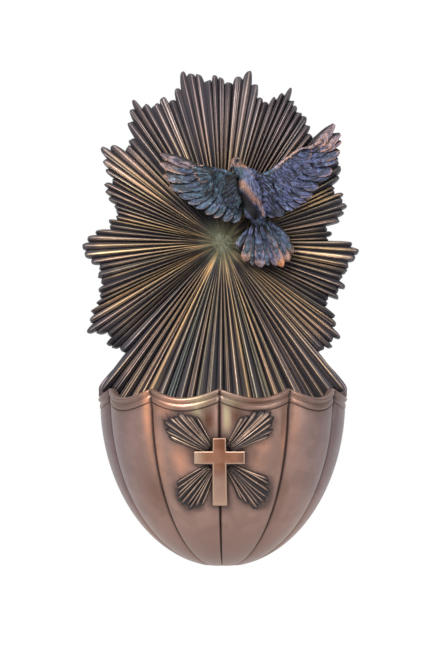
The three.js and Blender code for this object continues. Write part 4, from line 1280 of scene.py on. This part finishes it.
FEATHER_ROLL = 0.3


def wing_place(wing, where, way):
    """A place on the wing: where it is between tip and body, and how far on the way from bone to tip."""
    quill = curve_point(wing["quills"], where)
    if way < 1:
        return mix(curve_point(wing["bone"], where), quill, way)
    return mix(quill, curve_point(wing["tips"], where), way - 1)


def add_row(bm, layers, chance, wing, row):
    count, start, end, height, spread = row
    on_quills = count == 0
    count = count or len(wing["quills"])
    for i in range(count):
        where = i / (count - 1) if on_quills else (i + chance.uniform(0.2, 0.8)) / count
        last = end if on_quills else end * chance.uniform(0.9, 1.05)
        root, tip = wing_place(wing, where, start), wing_place(wing, where, last)
        gap = min(4, (wing_place(wing, abs(where - 1 / count), last) - tip).length)
        pointed = 1 - smooth(0, 0.25, where) if on_quills else 0
        outer = 1 - smooth(0.1, 0.5, where)
        look = feather_look(
            chance, wing["tint"], free=wing["free"], roll=FEATHER_ROLL,
            taper=mix(0.62 if on_quills else 0.5, 0.35, pointed), sharp=mix(2.3, 1.4, pointed),
            bend=wing["bend"] * chance.uniform(0.4, 1.6), bare=0.45 * outer + 0.4 * pointed,
            rub=chance.uniform(0.3, 0.6) + 0.4 * outer if on_quills else chance.uniform(0, 0.5))
        add_feather(bm, layers, lifted(root, height), lifted(tip, height * 0.8), spread * gap, look)


def add_arm(bm, layers, wing):
    """The rounded leading edge, from the body to the tip."""
    rub, _, barb, tint = layers
    worn_from = wing["arm_worn_from"]
    for v, turn, share, girth in tube(bm, *ARM_NET):
        radius = mix(*ARM_RADII, share) * girth
        v.co = limb_place(wing["leading"], share, turn, radius, ARM_FLAT * radius)
        worn = wing["arm_rub"] * smooth(worn_from, worn_from + 0.15, share)
        v[rub] = worn * smooth(-0.2, 0.8, math.sin(turn))
        v[barb] = ARM_BARBS * share
        v[tint] = ARM_TINT


def add_joint(bm, layers, chance, wing):
    """Small feathers over the joint between wing and body."""
    roots, tips = wing["joint"]
    for count, start, end, height in JOINT_ROWS:
        for i in range(count):
            where = (i + chance.uniform(0.2, 0.8)) / count
            root, tip = curve_point(roots, where), curve_point(tips, where)
            first, last = mix(root, tip, start), mix(root, tip, end * chance.uniform(0.8, 1.1))
            # painted shade over the joint between wing and body, fading along the row
            look = feather_look(chance, wing["tint"], rub=chance.uniform(0, 0.35), free=wing["free"],
                                deep=wing["joint_deep"] * (1 - where))
            half_width = chance.uniform(0.9, 1.3)
            add_feather(bm, layers, lifted(first, height), lifted(last, height), half_width, look)


def make_wing(name):
    wing = WINGS[name]
    chance = random.Random(WING_SEED)
    bm = bmesh.new()
    layers = dove_layers(bm)
    for row in WING_ROWS:
        add_row(bm, layers, chance, wing, row)
    root, tips = wing["tuft"]
    for tip in tips:
        add_feather(bm, layers, bird(*root), bird(*tip), TUFT_HALF_WIDTH,
                    feather_look(chance, wing["tint"], rub=0.9, free=wing["free"], taper=0.7))
    add_joint(bm, layers, chance, wing)
    thicken(bm)
    add_arm(bm, layers, wing)
    close_tubes(bm)
    return object_of(name.removeprefix("dove_") + "_feathers", bm)


wings = {name: make_wing(name) for name in WINGS}
print("wings", [len(wing.data.vertices) for wing in wings.values()], "vertices")

# %% [markdown]
# ## Dove: the tail
# Ten long feathers open like a fan. Each is narrow at its root and round at its end like a spoon, so gaps
# open between them, and a layer of feathers underneath, painted dark as shade, closes these gaps. Short
# feathers cover the roots.

# %% Tail mesh
TAIL_SEED = 12
TAIL_ROOTS = ((10.6, -2.8, 5.2), (13, -2.4, 5.2), (15, -2.2, 5.6), (17, -2.4, 6.6), (18.6, -2.8, 7.6))
TAIL_FEATHERS = (  # tip, rubbing, half-width and lift
    ((5.4, -3, -1.7), 0.5, 1.4, 0.7),
    ((8.2, -3, -7.4), 0.9, 1.8, 1.1),
    ((11.2, -2.9, -9.2), 0.4, 1.2, 0.6),
    ((14.5, -2.8, -10), 0.75, 2, 1.4),
    ((17.6, -2.8, -9.2), 0.5, 1.2, 0.7),
    ((20.8, -2.8, -9.4), 0.75, 1.4, 1),
    ((23.5, -2.8, -9.6), 1.4, 1.6, 1.3),
    ((26, -2.9, -7.4), 0.85, 1.7, 0.9),
    ((27.8, -3, -4), 0.6, 1.4, 1.1),
    ((26.2, -3, -0.2), 0.5, 1.3, 0.6),
)
TAIL_UNDER = 9
TAIL_COVERTS = 5


def tail_place(share, way, lift):
    tips = [tip for tip, *_ in TAIL_FEATHERS]
    return lifted(mix(curve_point(TAIL_ROOTS, share), curve_point(tips, share), way), lift)


def make_tail():
    chance = random.Random(TAIL_SEED)
    bm = bmesh.new()
    layers = dove_layers(bm)
    for i in range(TAIL_UNDER):
        share = (i + 0.5) / TAIL_UNDER
        # the layer underneath is dark all over: painted shade in the gaps between the tail feathers
        look = feather_look(chance, 0.4, deep=1, rub=0)
        add_feather(bm, layers, tail_place(share, 0, -0.4), tail_place(share, 0.9, -0.4), 1.8, look)
    for i, (_, worn, width, lift) in enumerate(TAIL_FEATHERS):
        share = i / (len(TAIL_FEATHERS) - 1)
        look = feather_look(chance, 0.4, arch=0.55, bend=0.06 * (2 * share - 1), rub=worn, bare=0.3,
                            worn_from=0.6, gap=0.3, root=0.3, swell=0.95, taper=0.86, sharp=3)
        add_feather(bm, layers, tail_place(share, 0, lift), tail_place(share, 1, lift), width, look)
    for i in range(TAIL_COVERTS):
        share = (i + 0.5) / TAIL_COVERTS
        look = feather_look(chance, 0.5, rub=0.3, root=0.5)
        add_feather(bm, layers, tail_place(share, -0.1, 1.5), tail_place(share, 0.34, 1.4), 0.9, look)
    thicken(bm)
    return object_of("tail_feathers", bm)


tail = make_tail()
print("tail", len(tail.data.vertices), "vertices")

# %% [markdown]
# ## Dove: the body
# The body is modelled as a sculptor would start it, from simple masses: a tapered trunk from the vent to
# the crown, a head, a beak, two thighs and the roots of the wings. A voxel remesh then fuses them to one
# skin, smoothing takes away the joints, and a hollow is pressed in under the breast. The eye and the small
# feet are added at the end. Strokes between two places say where the body is rubbed and where it gets
# painted shade, as in the hollow.

# %% Body mesh
SPINE = (  # across, out and up, then half the width and half the depth
    (14.8, -2.4, 5.6, 2.2, 2), (13.9, -1.4, 8.8, 3.4, 3), (12.9, 0, 13, 4.9, 4.8),
    (11.6, 0.8, 18, 5.9, 5.8), (10.4, 0.8, 22.4, 5.4, 5.2), (8, 1.1, 25.6, 3.6, 3.6),
    (6.4, 1.8, 27.8, 2.4, 2.6), (5.8, 2.2, 29.2, 1.8, 2))
MASSES = (  # across, out and up, then half the width, depth and height
    (5.7, 2.4, 29.6, 2.3, 2.5, 2.25), (4.5, 3, 28.6, 1.2, 1.4, 1.2), (10.6, 2.4, 11.4, 2.2, 2.2, 3.6),
    (15.4, 1.8, 11.2, 1.9, 2.4, 3.6), (5.4, 0, 21, 3.2, 2.4, 3.4), (15.4, 0, 20.6, 3.8, 2.6, 4.6))
SPINE_NET = (24, 40)  # faces round and along
ROD_NET = (10, 12)
BEAK = ((4.2, 3.3, 28.6), (3.5, 3.4, 27.7), (3.2, 3.1, 26.8))
BEAK_RADII = (0.9, 0.3)
EYE = (5.9, 4.75, 30.1)
EYE_RADIUS = 0.7
FEET = (((13.8, 1, 8.8), (14.4, 0, 5.8)), ((15.8, 0.6, 8.6), (16, -0.2, 5.8)))
FOOT_RADII = (0.5, 0.4)
SKIN_VOXEL = 0.3
SKIN_ROUNDS = 6  # times the skin is smoothed
BREAST = ((7.6, 21.4), (12.4, 15.2), 2)  # strokes on the body: from, to, half-width
THIGH = ((14.6, 14), (15.8, 9.4), 0.9)
NAPE = ((8.4, 28), (12.8, 23.4), 0.8)
# the hollow under the breast is pressed in and gets painted shade
HOLLOW = ((7.6, 16), (13, 9.6), 1.7)
HOLLOW_DEPTH = 1.6
NECK_Z = (26.5, 28.5)  # the head, from here up, is rubbed
VENT_Z = (8, 10)  # from here down the body gets painted shade
BODY_BACK = (-2.5, 1.2)  # towards the wall it gets the darkest painted shade
BODY_SIDES = (6.5, 12)  # the shade changes from the left side to the right


def add_trunk(bm):
    stations = [station[:3] for station in SPINE]
    sizes = [(*station[3:], 0) for station in SPINE]
    for v, turn, share, girth in tube(bm, *SPINE_NET):
        size = curve_point(sizes, share) * girth
        v.co = limb_place(stations, share, turn, size.x, size.y)


def add_mass(bm, mass):
    x, out, z, width, depth, height = mass
    made = bmesh.ops.create_icosphere(bm, subdivisions=3, radius=1)["verts"]
    for v in made:
        v.co = bird(x + v.co.x * width, out - v.co.y * depth, z + v.co.z * height)
    return made


def add_rod(bm, points, start_radius, end_radius):
    """A tapered rod along a curve, such as the beak or a foot."""
    for v, turn, share, girth in tube(bm, *ROD_NET):
        radius = mix(start_radius, end_radius, share) * girth
        v.co = limb_place(points, share, turn, radius, radius)


def fuse(piece):
    """One skin over all the masses of a piece, as a bmesh in millimetres."""
    skin = piece.modifiers.new("skin", "REMESH")
    skin.mode = "VOXEL"
    skin.voxel_size = SKIN_VOXEL * MM
    fused = applied(piece)
    bpy.data.objects.remove(piece)
    bm = bmesh.new()
    bm.from_mesh(fused)
    bpy.data.meshes.remove(fused)
    bmesh.ops.scale(bm, vec=(1 / MM, 1 / MM, 1 / MM), verts=bm.verts)
    for _ in range(SKIN_ROUNDS):
        bmesh.ops.smooth_vert(bm, verts=bm.verts, factor=0.5, use_axis_x=True, use_axis_y=True,
                              use_axis_z=True)
    return bm


def add_eye(bm, layers):
    """A dark eyeball in a ring of rubbed metal."""
    rub, deep, _, _ = layers
    x, out, z = EYE
    for v in add_mass(bm, (x, out - 0.35, z, EYE_RADIUS * 1.6, EYE_RADIUS, EYE_RADIUS * 1.5)):
        v[rub] = 0.4
    for v in add_mass(bm, (x, out, z, EYE_RADIUS, EYE_RADIUS, EYE_RADIUS)):
        v[deep] = 1


def make_body():
    rough = bmesh.new()
    add_trunk(rough)
    for mass in MASSES:
        add_mass(rough, mass)
    add_rod(rough, BEAK, *BEAK_RADII)
    close_tubes(rough)
    bm = fuse(object_of("body_rough", rough))
    rub, deep, barb, tint = layers = dove_layers(bm)
    for v in bm.verts:
        x, out, z = v.co.x, -DOVE_DEPTH - v.co.y, v.co.z
        place = Vector((x, z))
        hollow = min(1, 1.8 * stroke(place, HOLLOW))
        head = smooth(*NECK_Z, z)
        strokes = stroke(place, BREAST) + 0.8 * stroke(place, THIGH) + 0.5 * stroke(place, NAPE)
        v[rub] = min(1, strokes + 0.7 * head)
        # painted shade in the hollow, towards the wall and under the vent
        v[deep] = max(hollow, 1 - smooth(*BODY_BACK, out), 0.6 * (1 - smooth(*VENT_Z, z)))
        v[barb] = (0.9 * x + 0.42 * z) / BARB_GAP
        v[tint] = smooth(*BODY_SIDES, x)
        v.co.y += HOLLOW_DEPTH * hollow * smooth(0, 2, out)
    add_eye(bm, layers)
    for foot in FEET:
        add_rod(bm, foot, *FOOT_RADII)
    close_tubes(bm)
    return object_of("dove_trunk", bm)


body = make_body()
print("body", len(body.data.vertices), "vertices")

# %% [markdown]
# ## Dove: its finish
# The bird has a blue patina, greener on the left wing and violet on the right, with a dark and flecked
# crust. It gets a nearly black painted shade where feathers go under others and at their roots, between
# wing and body, in the hollow under the breast, under the vent and towards the wall, and it is copper
# where the rubbing reached: free edges, tips, breast and head. Its eye is dark too. The count of barbs
# makes fine hatching, both in tone and as a bump.


# %% Dove finish
def dove_finish():
    material, tree = new_finish("dove_bronze")
    cloud, grit = mottle(tree, 110)
    shade = carried(tree, "tint")
    tint = maths(tree, "ADD", shade, fade(tree, cloud, 0.3, 0.7, -0.25, 0.25))
    blue = blend(tree, fade(tree, tint, 0.1, 0.85), colour("304856"), colour("4d5378"))
    up = maths(tree, "MULTIPLY", parts(tree, places(tree))["Z"], 500)
    count = node(tree, "ShaderNodeCombineXYZ", {
        "X": carried(tree, "barb"), "Y": maths(tree, "MULTIPLY", shade, 40), "Z": up})
    streaks = noise(tree, count.outputs[0], 0.9, 2, 0.6)
    hatched = blend(tree, fade(tree, streaks, 0.42, 0.58, 0.9, 0), blue, colour("1b1d25"))
    crust = noise(tree, places(tree), 550, 4, 0.65)
    crusted = blend(tree, fade(tree, crust, 0.38, 0.52, 0.65, 0), hatched, colour("191b22"))
    flecked = blend(tree, fade(tree, crust, 0.56, 0.7, 0, 0.5), crusted, colour("7f93ab"))
    rub = carried(tree, "rub")
    worn = rubbed(tree, maths(tree, "MULTIPLY", rub, fade(tree, streaks, 0.34, 0.6, 0.35, 1)), 800, 0.5)
    brown = two_tone(tree, cloud, "9c715a", "775e59")
    copper = blend(tree, fade(tree, rub, 0.8, 1.2), brown, colour("ad7046"))
    metal = blend(tree, maths(tree, "MULTIPLY", worn, 0.85), flecked, copper)
    # nearly black where the mesh carries painted shade, and on the eye
    deep = carried(tree, "deep")
    dark = blend(tree, fade(tree, deep, 0.2, 1, 0, 0.95), metal, colour("1a1719"))
    dullness = maths(tree, "MAXIMUM", fade(tree, worn, 0, 1, 0.5, 0.38), fade(tree, deep, 0.3, 1, 0.38, 0.9))
    relief = maths(tree, "ADD", maths(tree, "MULTIPLY", streaks, 2), maths(tree, "MULTIPLY", crust, 3))
    return complete(material, dark, 0.4, dullness, maths(tree, "ADD", relief, grit), 0.00025)


dove_bronze = dove_finish()
for wing_name, wing_piece in wings.items():
    settle(wing_piece, dove_bronze, [wing_name])
settle(tail, dove_bronze, ["dove_tail"])
settle(body, dove_bronze, ["dove_body"], 60)

# %% [markdown]
# ## Steel parts
# The hanger, its screws and the dowels keep their own solids from the frame. They are plain zinc-plated
# steel, so they take a cool grey metal with a fine, slightly uneven dullness.

# %% Steel finish
STEEL_NODES = ("keyhole_hanger", "hanger_screw_left", "hanger_screw_right", "dove_dowel_upper",
               "dove_dowel_lower", "wing_dowel_left", "wing_dowel_right", "tail_dowel",
               "bowl_dowel_left", "bowl_dowel_right")


def steel_finish():
    material, tree = new_finish("zinc_steel")
    cloud, grit = mottle(tree, 120)
    shown = two_tone(tree, cloud, "b9bcbf", "9ea2a6", 0.2)
    return complete(material, shown, 1, fade(tree, grit, 0.3, 0.7, 0.3, 0.48), grit, 0.00003)


zinc_steel = steel_finish()
for steel_name in STEEL_NODES:
    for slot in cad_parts[steel_name].material_slots:
        slot.material = zinc_steel
print("steel on", len(STEEL_NODES), "nodes")

# %% [markdown]
# ## Floor, backdrop and light
# The stoup hangs in the air of a white studio. One sheet runs from the floor up behind it in a round
# sweep. It looks white to the camera and in reflections, and only plain pale to the light that falls on
# it, so it lights the object no more than paper would. Three large soft lamps do the rest.

# %% Studio
FLOOR_Z = -0.3  # metres, as all sizes of the studio
SWEEP_FRONT = -2
SWEEP_LENGTH = 5
SWEEP_BACK = 1.6
SWEEP_ROUND = 0.5
SWEEP_BEND = (0.3, 0.7)  # shares of the sheet between which it bends up
SWEEP_HALF = 2.5
SWEEP_RISE = 8
LAMPS = {  # place, aim, size and watts
    "key": ((-0.55, -0.75, 0.5), (0, 0, -0.03), 0.5, 14),
    "fill": ((0.75, -0.7, 0.15), (0, 0, -0.04), 0.6, 6),
    "top": ((0.05, -0.3, 0.8), (0, 0, -0.03), 0.5, 6),
}
AIR_COLOUR = (0.7, 0.72, 0.75, 1)
AIR_STRENGTH = 0.5


def paper_finish():
    material, tree = new_finish("studio_paper")
    shader = tree.nodes["Principled BSDF"]
    shader.inputs["Base Color"].default_value = (0.8, 0.8, 0.8, 1)
    shader.inputs["Roughness"].default_value = 0.9
    path = node(tree, "ShaderNodeLightPath").outputs
    seen = maths(tree, "MAXIMUM", path["Is Camera Ray"], path["Is Glossy Ray"])
    seen = maths(tree, "MAXIMUM", seen, path["Is Transmission Ray"])
    white = node(tree, "ShaderNodeEmission", {"Color": (1, 1, 1, 1), "Strength": 1.0})
    both = node(tree, "ShaderNodeMixShader", {0: seen, 1: shader.outputs[0], 2: white.outputs[0]})
    plug(tree, tree.nodes["Material Output"].inputs["Surface"], both.outputs[0])
    return material


def make_sweep():
    bm = bmesh.new()
    for v, across, along in sheet(bm, 2, 24):
        turn = math.pi / 2 * smooth(*SWEEP_BEND, along)
        y = SWEEP_FRONT + along * SWEEP_LENGTH
        if along > SWEEP_BEND[0]:
            y = SWEEP_BACK - SWEEP_ROUND + SWEEP_ROUND * math.sin(turn)
        z = FLOOR_Z + SWEEP_ROUND * (1 - math.cos(turn)) + max(0, along - SWEEP_BEND[1]) * SWEEP_RISE
        v.co = Vector((SWEEP_HALF * across, y, z)) / MM
    sweep = object_of("studio_sweep", bm)
    sweep.data.shade_smooth()
    sweep.data.materials.append(paper_finish())


def add_lamp(name, place, aim, size, watts):
    data = bpy.data.lights.new(name, "AREA")
    data.shape = "DISK"
    data.size = size
    data.energy = watts
    lamp = bpy.data.objects.new(name, data)
    lamp.location = place
    lamp.rotation_euler = (Vector(aim) - Vector(place)).to_track_quat("-Z", "Y").to_euler()
    bpy.context.scene.collection.objects.link(lamp)


make_sweep()
for lamp_name, lamp in LAMPS.items():
    add_lamp(lamp_name, *lamp)
world = bpy.data.worlds.new("studio_air")
world.use_nodes = True
air = world.node_tree.nodes["Background"].inputs
air["Color"].default_value = AIR_COLOUR
air["Strength"].default_value = AIR_STRENGTH
bpy.context.scene.world = world
bpy.context.scene.view_settings.view_transform = "Standard"
print("studio ready")
